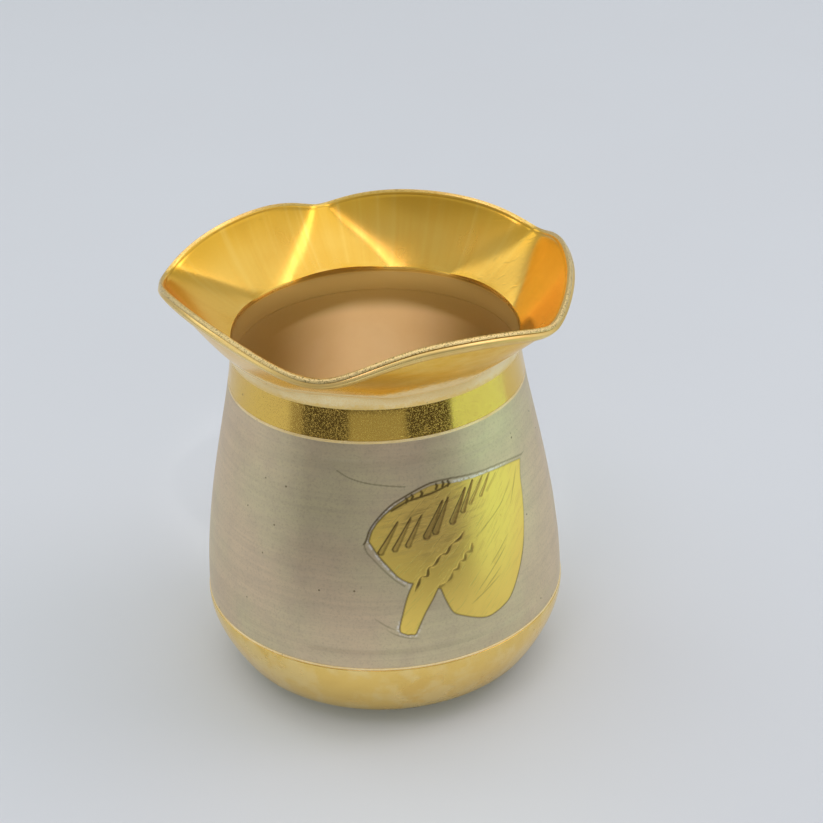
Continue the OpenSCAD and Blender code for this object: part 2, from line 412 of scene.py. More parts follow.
class Sketch:
    """A node tree being wired, with short methods for the nodes that the finishes use."""

    def __init__(self, tree: bpy.types.NodeTree) -> None:
        """Keeps the tree that the nodes are added to."""
        self.tree = tree

    def add(self, kind: str, **settings: object) -> bpy.types.Node:
        """Adds a node and sets its own properties."""
        node = self.tree.nodes.new(kind)
        for name, value in settings.items():
            setattr(node, name, value)
        return node

    def feed(self, target: Socket, value: object) -> None:
        """Links a socket into another, or sets a plain value on it.

        Args:
            target: the socket that takes the value.
            value: a socket, a number, a vector or a colour.
        """
        if isinstance(value, bpy.types.NodeSocket):
            self.tree.links.new(value, target)
        elif isinstance(value, tuple) and len(value) == 3 and target.type == "RGBA":
            target.default_value = (*value, 1.0)
        else:
            target.default_value = value

    def math(self, operation: str, *values: object, clamp: bool = False) -> Socket:
        """Adds a math node.

        Args:
            operation: what it does.
            values: its operands, as sockets or numbers.
            clamp: whether the result is held between 0 and 1.

        Returns:
            The result.
        """
        node = self.add("ShaderNodeMath", operation=operation, use_clamp=clamp)
        for target, value in zip(node.inputs, values):
            self.feed(target, value)
        return node.outputs[0]

    def times(self, first: object, second: object) -> Socket:
        """Multiplies two numbers."""
        return self.math("MULTIPLY", first, second)

    def plus(self, first: object, second: object, clamp: bool = False) -> Socket:
        """Adds two numbers."""
        return self.math("ADD", first, second, clamp=clamp)

    def minus(self, first: object, second: object) -> Socket:
        """Takes the second number from the first."""
        return self.math("SUBTRACT", first, second)

    def vector(self, operation: str, *values: object) -> Socket:
        """Adds a vector math node.

        Args:
            operation: what it does.
            values: its operands, as sockets.

        Returns:
            The vector, or the number for LENGTH.
        """
        node = self.add("ShaderNodeVectorMath", operation=operation)
        for target, value in zip(node.inputs, values):
            if target.enabled:
                self.feed(target, value)
        return node.outputs["Value" if operation == "LENGTH" else "Vector"]

    def scaled(self, vector: Socket, scale: Socket | float) -> Socket:
        """Multiplies a vector by one number.

        Args:
            vector: the vector.
            scale: the number.

        Returns:
            The scaled vector.
        """
        node = self.add("ShaderNodeVectorMath", operation="SCALE")
        self.feed(node.inputs["Vector"], vector)
        self.feed(node.inputs["Scale"], scale)
        return node.outputs["Vector"]

    def ramp(self, value: Socket, low: object, high: object,
             start: float = 0.0, end: float = 1.0) -> Socket:
        """Maps a number from one span to another with soft ends, held at both.

        Args:
            value: the number.
            low: the value that gives start.
            high: the value that gives end.
            start: the result at low.
            end: the result at high.

        Returns:
            The mapped number.
        """
        node = self.add("ShaderNodeMapRange", interpolation_type="SMOOTHSTEP")
        self.feed(node.inputs["Value"], value)
        self.feed(node.inputs["From Min"], low)
        self.feed(node.inputs["From Max"], high)
        node.inputs["To Min"].default_value = start
        node.inputs["To Max"].default_value = end
        return node.outputs["Result"]

    def blend(self, share: object, first: object, second: object) -> Socket:
        """Mixes two colours.

        Args:
            share: how much of the second colour shows.
            first: the first colour.
            second: the second colour.

        Returns:
            The mixed colour.
        """
        node = self.add("ShaderNodeMix", data_type="RGBA")
        self.feed(node.inputs["Factor"], share)
        self.feed(node.inputs[6], first)
        self.feed(node.inputs[7], second)
        return node.outputs[2]

    def tint(self, colour: object, paint: object, share: object, strength: float) -> Socket:
        """Lays a paint over a colour by a share of the given strength."""
        return self.blend(self.times(share, strength), colour, paint)

    def noise(self, vector: Socket, scale: object, detail: float = 2.0,
              roughness: float = 0.5) -> Socket:
        """Adds a noise texture.

        Args:
            vector: the coordinates that it follows.
            scale: how fine it is.
            detail: how many finer layers it has.
            roughness: how strong these are.

        Returns:
            The noise, around 0.5.
        """
        node = self.add("ShaderNodeTexNoise")
        self.feed(node.inputs["Vector"], vector)
        self.feed(node.inputs["Scale"], scale)
        node.inputs["Detail"].default_value = detail
        node.inputs["Roughness"].default_value = roughness
        return node.outputs["Fac"]

    def place(self) -> Socket:
        """Returns the Object coordinates."""
        return self.add("ShaderNodeTexCoord").outputs["Object"]

    def read(self, name: str, kind: str = "Fac") -> Socket:
        """Returns a number, or with kind Vector a vector, stored on the piece's points."""
        return self.add("ShaderNodeAttribute", attribute_name=name).outputs[kind]

    def combine(self, x: object, y: object, z: object) -> Socket:
        """Makes a vector from three numbers."""
        node = self.add("ShaderNodeCombineXYZ")
        for target, value in zip(node.inputs, (x, y, z)):
            self.feed(target, value)
        return node.outputs[0]

    def split(self, vector: Socket) -> tuple[Socket, Socket, Socket]:
        """Splits a vector into its three numbers.

        Args:
            vector: the vector.

        Returns:
            Its X, Y and Z.
        """
        node = self.add("ShaderNodeSeparateXYZ")
        self.feed(node.inputs[0], vector)
        return tuple(node.outputs)


class Effect(Enum):
    """The effects that several finishes share, each a node group."""

    LATHE_LINES = "lathe_lines"
    PITS = "pits"
    SMUDGES = "smudges"
    SCRATCHES = "scratches"


class SharedEffects:
    """Builds each shared effect once and places it in the finishes."""

    def __init__(self) -> None:
        """Builds all the groups."""
        self.groups = {
            Effect.LATHE_LINES: self.lathe_lines(),
            Effect.PITS: self.pits(),
            Effect.SMUDGES: self.smudges(),
            Effect.SCRATCHES: self.scratches(),
        }

    @staticmethod
    def group(name: str, inputs: dict[str, float]) -> tuple[Sketch, dict[str, Socket], Socket]:
        """Starts a group with a Vector input, number inputs and one Value output.

        Args:
            name: name of the group.
            inputs: names and starting values of the number inputs.

        Returns:
            The sketch, the input sockets by name, and the socket that takes the result.
        """
        tree = bpy.data.node_groups.new(name, "ShaderNodeTree")
        tree.interface.new_socket("Vector", in_out="INPUT", socket_type="NodeSocketVector")
        for label, value in inputs.items():
            made = tree.interface.new_socket(label, in_out="INPUT", socket_type="NodeSocketFloat")
            made.default_value = value
        tree.interface.new_socket("Value", in_out="OUTPUT", socket_type="NodeSocketFloat")
        sketch = Sketch(tree)
        entry = sketch.add("NodeGroupInput")
        leave = sketch.add("NodeGroupOutput")
        return sketch, {s.name: s for s in entry.outputs if s.name}, leave.inputs["Value"]

    def lathe_lines(self) -> bpy.types.NodeTree:
        """Fine lines that run round the pot's axis, broken up a little along their length."""
        sketch, inputs, result = self.group(
            Effect.LATHE_LINES.value, {"Pitch": 4000.0, "Along": 90.0})
        x, y, z = sketch.split(inputs["Vector"])
        flat = sketch.combine(x, y, 0.0)
        out = sketch.vector("LENGTH", flat)
        across = sketch.times(sketch.plus(out, z), inputs["Pitch"])
        around = sketch.scaled(flat, inputs["Along"])
        ax, ay, _ = sketch.split(around)
        value = sketch.noise(sketch.combine(ax, ay, across), 1.0, detail=3.0, roughness=0.65)
        sketch.feed(result, value)
        return sketch.tree

    def pits(self) -> bpy.types.NodeTree:
        """Sparse small round pits: 1 in a pit and 0 elsewhere."""
        sketch, inputs, result = self.group(
            Effect.PITS.value, {"Scale": 400.0, "Share": 0.1, "Size": 0.2})
        cells = sketch.add("ShaderNodeTexVoronoi")
        sketch.feed(cells.inputs["Vector"], inputs["Vector"])
        sketch.feed(cells.inputs["Scale"], inputs["Scale"])
        near = sketch.ramp(cells.outputs["Distance"],
                           sketch.times(inputs["Size"], 0.5), inputs["Size"], 1.0, 0.0)
        chance = sketch.split(cells.outputs["Color"])[0]
        chosen = sketch.math("LESS_THAN", chance, inputs["Share"])
        sketch.feed(result, sketch.times(near, chosen))
        return sketch.tree

    def smudges(self) -> bpy.types.NodeTree:
        """Broad soft clouds, from 0 to 1."""
        sketch, inputs, result = self.group(
            Effect.SMUDGES.value, {"Scale": 60.0, "Low": 0.4, "High": 0.65})
        cloud = sketch.noise(inputs["Vector"], inputs["Scale"], detail=4.0, roughness=0.55)
        sketch.feed(result, sketch.ramp(cloud, inputs["Low"], inputs["High"]))
        return sketch.tree

    def scratches(self) -> bpy.types.NodeTree:
        """Thin short scratches along the Vector's own X: 1 on a scratch and 0 elsewhere."""
        sketch, inputs, result = self.group(
            Effect.SCRATCHES.value, {"Scale": 1500.0, "Length": 14.0, "Share": 0.7})
        x, y, z = sketch.split(inputs["Vector"])
        drawn = sketch.combine(sketch.math("DIVIDE", x, inputs["Length"]), y, z)
        value = sketch.noise(drawn, inputs["Scale"], detail=1.0)
        edge = sketch.plus(inputs["Share"], 0.06)
        sketch.feed(result, sketch.ramp(value, inputs["Share"], edge))
        return sketch.tree

    def use(self, sketch: Sketch, effect: Effect, vector: Socket, **values: float) -> Socket:
        """Places an effect in a finish and returns its value.

        Args:
            sketch: the finish being wired.
            effect: which effect.
            vector: the coordinates that it follows.
            values: the group's number inputs, by name.

        Returns:
            The effect's value socket.
        """
        node = sketch.add("ShaderNodeGroup", node_tree=self.groups[effect])
        sketch.feed(node.inputs["Vector"], vector)
        for name, value in values.items():
            node.inputs[name].default_value = value
        return node.outputs["Value"]


class Finish:
    """A material being made: its sketch, its Principled BSDF and its way in for bumps."""

    def __init__(self, name: str, effects: SharedEffects) -> None:
        """Starts a material with a lone Principled BSDF.

        Args:
            name: name of the material.
            effects: the shared effects.
        """
        self.material = bpy.data.materials.new(name)
        self.material.use_nodes = True
        tree = self.material.node_tree
        tree.nodes.clear()
        self.sketch = Sketch(tree)
        self.effects = effects
        self.place = self.sketch.place()
        self.shader = self.sketch.add("ShaderNodeBsdfPrincipled")
        self.shader.inputs["Metallic"].default_value = 1.0
        output = self.sketch.add("ShaderNodeOutputMaterial")
        tree.links.new(self.shader.outputs["BSDF"], output.inputs["Surface"])

    def effect(self, effect: Effect, **values: float) -> Socket:
        """Places a shared effect that follows the piece's own coordinates."""
        return self.effects.use(self.sketch, effect, self.place, **values)

    def set(self, **values: object) -> None:
        """Feeds the shader's sockets; an underscore in a name stands for a space."""
        for name, value in values.items():
            self.sketch.feed(self.shader.inputs[name.replace("_", " ")], value)

    def bump(self, height: Socket, depth: float, base: Socket | None = None) -> Socket:
        """Adds a bump.

        Args:
            height: the bump's height, from 0 to 1.
            depth: what a height of 1 stands for, in metres.
            base: the normal that the bump lies on.

        Returns:
            The new normal.
        """
        node = self.sketch.add("ShaderNodeBump")
        node.inputs["Distance"].default_value = depth
        self.sketch.feed(node.inputs["Height"], height)
        if base is not None:
            self.sketch.feed(node.inputs["Normal"], base)
        return node.outputs["Normal"]

    def frayed(self, name: str, scale: float, fray: float, full: float) -> Socket:
        """Reads a share stored on the piece and frays its edge.

        Args:
            name: name of the stored share.
            scale: how fine the fraying is.
            fray: how far it moves the share up and down.
            full: the moved share from which the result is 1.

        Returns:
            The frayed share.
        """
        sketch = self.sketch
        noise = sketch.noise(self.place, scale, detail=4.0, roughness=0.75)
        ragged = sketch.times(sketch.minus(noise, 0.5), fray)
        return sketch.ramp(sketch.plus(sketch.read(name), ragged), 0.2, full)


class Coat:
    """What all the finishes share: each has a name and can be made into a material."""

    name: str

    def make(self, effects: SharedEffects) -> bpy.types.Material:
        """Makes the material.

        Args:
            effects: the shared effects.

        Returns:
            The wired material.
        """
        finish = Finish(self.name, effects)
        self.wire(finish, finish.sketch)
        return finish.material

    def wire(self, finish: Finish, sketch: Sketch) -> None:
        """Adds the nodes that make this finish what it is.

        Args:
            finish: the finish being wired.
            sketch: its node tree.
        """
        raise NotImplementedError


@dataclass(frozen=True)
class TanInside:
    """The dull tan skin that the pot has inside, laid over a finish where a piece is hollow, with
    painted shade darkening it at the sides and under the mouth.
    """

    colour: Rgb = (1.0, 0.76, 0.41)
    cloudy: Rgb = (0.95, 0.69, 0.34)
    # colour of the painted shade inside the pot
    painted_shade_and_tarnish: Rgb = (0.39, 0.245, 0.068)
    roughness: float = 0.42
    metal: float = 0.2

    def over(self, finish: Finish, colour: Socket, rough: Socket,
             dull: Socket | float = 0.0) -> tuple[Socket, Socket]:
        """Mixes the skin into a finish by the piece's inside attribute.

        Args:
            finish: the finish being wired.
            colour: the finish's own colour.
            rough: the finish's own roughness.
            dull: share by which the finish is less than metallic of itself.

        Returns:
            The mixed colour and roughness.
        """
        sketch = finish.sketch
        inside = sketch.read("inside")
        clouds = finish.effect(Effect.SMUDGES, Scale=80.0, Low=0.35, High=0.7)
        skin = sketch.blend(clouds, self.colour, self.cloudy)
        # painted shade: darkens the skin by the stored share
        skin = sketch.blend(sketch.read("painted_shade_and_tarnish"), skin, self.painted_shade_and_tarnish)
        gap = sketch.minus(self.roughness, rough)
        mixed = sketch.plus(rough, sketch.times(inside, gap))
        loss = sketch.math("MAXIMUM", sketch.times(inside, 1.0 - self.metal), dull)
        finish.set(Metallic=sketch.minus(1.0, loss))
        return sketch.blend(inside, colour, skin), mixed


@dataclass(frozen=True)
class PolishedBrass(Coat):
    """Spun brass polished bright: fine lathe lines, soft clouds of tarnish and a few scratches."""

    name: str
    colour: Rgb = (0.93, 0.63, 0.16)
    painted_shade_and_tarnish: Rgb = (0.82, 0.52, 0.13)
    worn: Rgb = (1.0, 0.81, 0.40)
    # colour of the painted shade towards the pan's bottom
    shaded: Rgb = (0.46, 0.36, 0.15)
    pitted: Rgb = (0.20, 0.12, 0.04)
    roughness: float = 0.16
    cloud_roughness: float = 0.12
    line_depth: float = 0.004 * MM
    grain: float = 0.0
    hollow: bool = False
    painted_shade_below: float = 0.0

    def wire(self, finish: Finish, sketch: Sketch) -> None:
        """Wires the polish, and the wear, painted shade towards the bottom, grain and hollow side
        that a piece asks for.

        Args:
            finish: the finish being wired.
            sketch: its node tree.
        """
        lines = finish.effect(Effect.LATHE_LINES, Pitch=5200.0, Along=60.0)
        clouds = finish.effect(Effect.SMUDGES, Scale=95.0, Low=0.42, High=0.7)
        fine = finish.effect(Effect.SMUDGES, Scale=520.0, Low=0.45, High=0.75)
        pits = finish.effect(Effect.PITS, Scale=620.0, Share=0.05, Size=0.16)
        marks = finish.effect(Effect.SCRATCHES, Scale=1300.0, Share=0.7)
        dull = sketch.plus(sketch.times(clouds, 0.35), sketch.times(fine, 0.15), clamp=True)
        colour = sketch.blend(dull, self.colour, self.painted_shade_and_tarnish)
        if self.painted_shade_below > 0.0:
            worn = finish.effect(Effect.SMUDGES, Scale=210.0, Low=0.45, High=0.62)
            colour = sketch.tint(colour, self.worn, worn, 0.45)
            # painted shade: the pan darker towards the bottom, where its underside turns down
            height = sketch.split(finish.place)[2]
            low = sketch.ramp(height, 0.3 * self.painted_shade_below, 1.2 * self.painted_shade_below, 0.9, 0.0)
            colour = sketch.blend(low, colour, self.shaded)
        colour = sketch.tint(colour, self.pitted, pits, 0.7)
        rough = sketch.plus(self.roughness, sketch.times(clouds, self.cloud_roughness))
        rough = sketch.plus(rough, sketch.times(lines, 0.08))
        if self.hollow:
            colour, rough = TanInside().over(finish, colour, rough)
        normal = finish.bump(lines, self.line_depth)
        normal = finish.bump(sketch.plus(pits, marks), -0.01 * MM, normal)
        if self.grain > 0.0:
            specks = sketch.noise(finish.place, 4400.0, detail=3.0, roughness=0.8)
            normal = finish.bump(sketch.ramp(specks, 0.55, 0.62), self.grain, normal)
        finish.set(Base_Color=colour, Roughness=rough, Normal=normal)


@dataclass(frozen=True)
class LipBrass(Coat):
    """The flare's polished sheet, with its milled edge, the line scribed inside the rim and painted
    shade in the crease under its edge.
    """

    name: str = "flare_polish"
    colour: Rgb = (0.95, 0.60, 0.11)
    deep: Rgb = (0.90, 0.51, 0.065)
    amber: Rgb = (0.88, 0.50, 0.04)
    ray: Rgb = (1.0, 0.69, 0.17)
    wiped: Rgb = (1.0, 0.83, 0.50)
    # dark colour of the scribed lines and of the painted shade in the crease under the edge
    scribed: Rgb = (0.30, 0.17, 0.04)
    edge: Rgb = (1.0, 0.79, 0.36)
    edge_dark: Rgb = (0.30, 0.19, 0.06)
    roughness: float = 0.2
    wiped_dullness: float = 0.65

    def wire(self, finish: Finish, sketch: Sketch) -> None:
        """Wires the sheet, then lays on the solder's wash, the scribed line with the painted crease
        shade, and the edge.

        Args:
            finish: the finish being wired.
            sketch: its node tree.
        """
        lines = finish.effect(Effect.LATHE_LINES, Pitch=3600.0, Along=140.0)
        clouds = finish.effect(Effect.SMUDGES, Scale=70.0, Low=0.4, High=0.7)
        streaks = finish.effect(Effect.SCRATCHES, Scale=900.0, Share=0.66)
        specks = sketch.noise(finish.place, 3400.0, detail=3.0, roughness=0.8)
        edge = sketch.read("milled")
        wiped = finish.frayed("wiped", 800.0, 0.9, 0.95)
        colour = self.strokes(finish, sketch.tint(self.colour, self.deep, clouds, 0.5))
        colour = sketch.blend(wiped, colour, self.wiped)
        colour = sketch.tint(colour, self.scribed, sketch.read("scribed"), 0.7)
        dark = sketch.ramp(specks, 0.38, 0.50, 0.8, 0.0)
        colour = sketch.blend(edge, colour, sketch.blend(dark, self.edge, self.edge_dark))
        rough = sketch.plus(self.roughness, sketch.times(clouds, 0.08))
        rough = sketch.plus(rough, sketch.times(edge, 0.12))
        dull = sketch.times(wiped, self.wiped_dullness)
        colour, rough = TanInside().over(finish, colour, rough, dull)
        normal = finish.bump(lines, 0.003 * MM)
        normal = finish.bump(streaks, -0.006 * MM, normal)
        normal = finish.bump(sketch.times(specks, edge), 0.07 * MM, normal)
        finish.set(Base_Color=colour, Roughness=rough, Normal=normal)

    def strokes(self, finish: Finish, colour: Socket) -> Socket:
        """Lays rays over the sheet's inner face and level sweeps over its outer face.

        Args:
            finish: the finish being wired.
            colour: the sheet's colour.

        Returns:
            The colour with the strokes on it.
        """
        sketch = finish.sketch
        along = sketch.read("along")
        above = sketch.ramp(along, 0.0, 0.1)
        below = sketch.minus(1.0, above)
        x, y, z = sketch.split(finish.place)
        outward = sketch.vector("NORMALIZE", sketch.combine(x, y, 0.0))
        level = sketch.combine(sketch.times(x, 0.22), sketch.times(y, 0.22), z)
        rays = sketch.noise(outward, 20.0, detail=4.0, roughness=0.65)
        sweeps = sketch.noise(level, 1100.0, detail=3.0, roughness=0.6)
        colour = sketch.tint(colour, self.amber, sketch.ramp(along, 0.4, 0.95), 0.75)
        for pattern, full, strength, face, paint in (
                (rays, 0.72, 0.5, above, self.ray), (rays, 0.3, 0.45, above, self.deep),
                (sweeps, 0.68, 0.55, below, self.ray), (sweeps, 0.34, 0.5, below, self.amber)):
            share = sketch.times(sketch.ramp(pattern, 0.5, full, 0.0, strength), face)
            colour = sketch.blend(share, colour, paint)
        return colour


@dataclass(frozen=True)
class SatinWall(Coat):
    """The barrel's satin skin, brushed round, with the leaf cut through to bright brass."""

    name: str = "satin_wall"
    satin: Rgb = (0.76, 0.635, 0.41)
    warm: Rgb = (0.80, 0.61, 0.43)
    cool: Rgb = (0.72, 0.665, 0.41)
    brushed: Rgb = (0.55, 0.45, 0.31)
    lit: Rgb = (0.86, 0.74, 0.55)
    mottled: Rgb = (0.56, 0.44, 0.33)
    grainy: Rgb = (0.48, 0.38, 0.25)
    bright: Rgb = (1.0, 0.73, 0.17)
    # colour of the painted shade on the leaf
    painted_shade_olive: Rgb = (0.86, 0.60, 0.17)
    # orange painted as reflection towards the leaf's right edge
    amber: Rgb = (1.0, 0.62, 0.16)
    glint: Rgb = (0.80, 0.66, 0.16)
    # darker streaks and strokes inside the painted shade
    painted_shade_streak: Rgb = (0.50, 0.34, 0.10)
    burr: Rgb = (0.95, 0.88, 0.80)
    cut: Rgb = (0.40, 0.26, 0.08)
    dark: Rgb = (0.13, 0.085, 0.03)

    def wire(self, finish: Finish, sketch: Sketch) -> None:
        """Wires the skin, the scraped leaf in it, and the burr, cuts and lines on both.

        Args:
            finish: the finish being wired.
            sketch: its node tree.
        """
        lines = finish.effect(Effect.LATHE_LINES, Pitch=3000.0, Along=35.0)
        coarse = finish.effect(Effect.LATHE_LINES, Pitch=1300.0, Along=22.0)
        pits = finish.effect(Effect.PITS, Scale=260.0, Share=0.05, Size=0.07)
        dots = finish.effect(Effect.PITS, Scale=900.0, Share=0.035, Size=0.2)
        leaf = sketch.ramp(sketch.read("leaf"), -0.07, 0.05)
        skin = self.skin(finish, lines, coarse, sketch.plus(pits, dots, clamp=True))
        metal, level, fine = self.scraped(finish)
        colour = sketch.blend(leaf, skin, metal)
        ragged = sketch.noise(finish.place, 1500.0, detail=3.0, roughness=0.7)
        burr = sketch.times(sketch.read("burr"), sketch.ramp(ragged, 0.42, 0.58))
        for share, paint in ((burr, self.burr), (sketch.read("cut"), self.cut),
                             (sketch.read("line"), self.dark)):
            colour = sketch.blend(share, colour, paint)
        satin_rough = sketch.plus(0.38, sketch.times(lines, 0.14))
        leaf_rough = sketch.plus(0.34, sketch.times(level, 0.1))
        gap = sketch.minus(leaf_rough, satin_rough)
        rough = sketch.plus(satin_rough, sketch.times(leaf, gap))
        colour, rough = TanInside().over(finish, colour, rough)
        normal = finish.bump(lines, 0.010 * MM)
        normal = finish.bump(coarse, 0.010 * MM, normal)
        normal = finish.bump(sketch.plus(pits, dots), -0.03 * MM, normal)
        strokes = sketch.times(sketch.plus(level, fine), leaf)
        normal = finish.bump(strokes, -0.03 * MM, normal)
        finish.set(Base_Color=colour, Roughness=rough, Normal=normal)

    def skin(self, finish: Finish, lines: Socket, coarse: Socket, marks: Socket) -> Socket:
        """Wires the colour of the satin skin.

        Args:
            finish: the finish being wired.
            lines: the fine brushed lines.
            coarse: the coarse ones.
            marks: the pits and dots.

        Returns:
            The skin's colour.
        """
        sketch = finish.sketch
        clouds = finish.effect(Effect.SMUDGES, Scale=45.0, Low=0.4, High=0.66)
        mottle = finish.effect(Effect.SMUDGES, Scale=260.0, Low=0.4, High=0.7)
        grain = sketch.noise(finish.place, 2600.0, detail=2.0, roughness=0.7)
        colour = sketch.blend(0.45, sketch.blend(clouds, self.warm, self.cool), self.satin)
        for paint, share, strength in (
                (self.brushed, sketch.ramp(coarse, 0.35, 0.7), 0.28),
                (self.lit, sketch.ramp(lines, 0.4, 0.7), 0.16),
                (self.mottled, mottle, 0.22),
                (self.grainy, sketch.ramp(grain, 0.45, 0.75), 0.34),
                (self.dark, marks, 0.75)):
            colour = sketch.tint(colour, paint, share, strength)
        return colour

    def scraped(self, finish: Finish) -> tuple[Socket, Socket, Socket]:
        """Wires the bright metal of the scraped leaf, with an olive patch painted as shade on it.

        Args:
            finish: the finish being wired.

        Returns:
            The metal's colour, the nearly level strokes in it and the fine slanting ones.
        """
        sketch = finish.sketch
        shade = sketch.read("shade")
        across, up, _ = sketch.split(sketch.read("plane", "Vector"))
        climb = sketch.minus(up, sketch.times(across, 0.14))
        drawn = sketch.combine(sketch.times(across, 0.16), climb, 0.0)
        level = sketch.noise(drawn, 1.5, detail=3.0, roughness=0.6)
        # the level streaks show only inside the painted shade
        level = sketch.times(sketch.ramp(level, 0.44, 0.66), shade)
        slant = sketch.minus(up, sketch.times(across, 0.95))
        drawn = sketch.combine(sketch.times(across, 0.1), slant, 3.0)
        fine = sketch.noise(drawn, 3.4, detail=2.0, roughness=0.6)
        fine = sketch.ramp(fine, 0.56, 0.68, 0.0, 0.6)
        # painted shade: olive where the leaf is shaded, with darker streaks and strokes in it
        metal = sketch.tint(self.bright, self.painted_shade_olive, shade, 0.8)
        metal = sketch.tint(metal, self.painted_shade_streak, level, 0.75)
        metal = sketch.blend(fine, metal, sketch.blend(shade, self.glint, self.painted_shade_streak))
        # painted reflection: warmer orange towards the leaf's right edge
        metal = sketch.blend(sketch.ramp(across, 8.0, 14.0, 0.0, 0.5), metal, self.amber)
        return metal, level, fine


@dataclass(frozen=True)
class SolderPale(Coat):
    """Pale solder, wiped smooth, with small grains in it."""

    name: str = "pale_solder"
    colour: Rgb = (1.0, 0.84, 0.50)
    grains: Rgb = (0.92, 0.72, 0.36)
    brass: Rgb = (0.92, 0.66, 0.22)
    pitted: Rgb = (0.32, 0.22, 0.10)
    feathered: bool = False
    roughness: float = 0.3
    metal: float = 0.7

    def wire(self, finish: Finish, sketch: Sketch) -> None:
        """Wires the solder, thinned to the brass under it where it is feathered out.

        Args:
            finish: the finish being wired.
            sketch: its node tree.
        """
        clouds = finish.effect(Effect.SMUDGES, Scale=160.0, Low=0.4, High=0.65)
        pits = finish.effect(Effect.PITS, Scale=900.0, Share=0.14, Size=0.2)
        lines = finish.effect(Effect.LATHE_LINES, Pitch=4200.0, Along=80.0)
        specks = sketch.noise(finish.place, 4200.0, detail=3.0, roughness=0.75)
        colour = sketch.tint(self.colour, self.grains, clouds, 0.7)
        if self.feathered:
            wiped = finish.frayed("wiped", 900.0, 1.8, 1.0)
            colour = sketch.blend(wiped, self.brass, colour)
        colour = sketch.tint(colour, self.pitted, pits, 0.6)
        colour = sketch.blend(sketch.ramp(specks, 0.42, 0.56, 0.5, 0.0), colour, self.brass)
        rough = sketch.plus(self.roughness, sketch.times(clouds, 0.14))
        normal = finish.bump(lines, 0.004 * MM)
        normal = finish.bump(pits, -0.02 * MM, normal)
        normal = finish.bump(specks, 0.05 * MM, normal)
        finish.set(Base_Color=colour, Metallic=self.metal, Roughness=rough, Normal=normal)


@dataclass(frozen=True)
class PaleGround(Coat):
    """Matt pale board with a faint cloudiness."""

    name: str = "pale_ground"
    colour: Rgb = (0.655, 0.695, 0.73)
    shade: Rgb = (0.645, 0.68, 0.71)

    def wire(self, finish: Finish, sketch: Sketch) -> None:
        """Wires the board.

        Args:
            finish: the finish being wired.
            sketch: its node tree.
        """
        clouds = finish.effect(Effect.SMUDGES, Scale=5.0, Low=0.3, High=0.7)
        finish.set(Base_Color=sketch.blend(clouds, self.colour, self.shade), Roughness=0.75,
                   Metallic=0.0, Specular_IOR_Level=0.2)


# ---------------------------------------------------------------- turned pieces


def rounded(corner: tuple, before: tuple, after: tuple, size: float, steps: int = 4) -> np.ndarray:
    """Rounds one corner of an outline.

    Args:
        corner: the sharp corner, as radius and height.
        before: a point on the way into the corner.
        after: a point on the way out of it.
        size: how far from the corner the rounding starts.
        steps: number of steps round the corner.

    Returns:
        The points of the rounding.
    """
    c, b, a = (np.array(p, float) for p in (corner, before, after))
    start = c + (b - c) / np.linalg.norm(b - c) * size
    end = c + (a - c) / np.linalg.norm(a - c) * size
    t = np.linspace(0.0, 1.0, steps + 1)[:, None]
    return (1 - t) ** 2 * start + 2 * t * (1 - t) * c + t * t * end


@dataclass
class Shell:
    """A turned shell of the pot, tan on its hollow side; each kind gives its own section."""

    profile: PotProfile
    name: str = "shell"
    node: str = "shell"
    slot: str = "polished_brass"
    sweeps: tuple[Sweep, ...] = (Sweep(360.0, 256),)
    start: float = 0.0

    def outline(self) -> np.ndarray:
        """Returns the shell's section, once round."""
        raise NotImplementedError

    def work(self, piece: Thing) -> None:
        """Works the spun piece further, which a plain shell doesn't need."""

    def build(self, material: bpy.types.Material) -> Thing:
        """Turns the shell and dresses it.

        Args:
            material: the shell's finish.

        Returns:
            The finished piece.
        """
        piece = Bench.turned(self.name, self.outline(), self.sweeps, self.start)
        Bench.mark_inside(piece, self.profile)
        self.work(piece)
        Bench.smooth(piece, 32.0)
        return Bench.deliver(piece, self.node, self.slot, material)


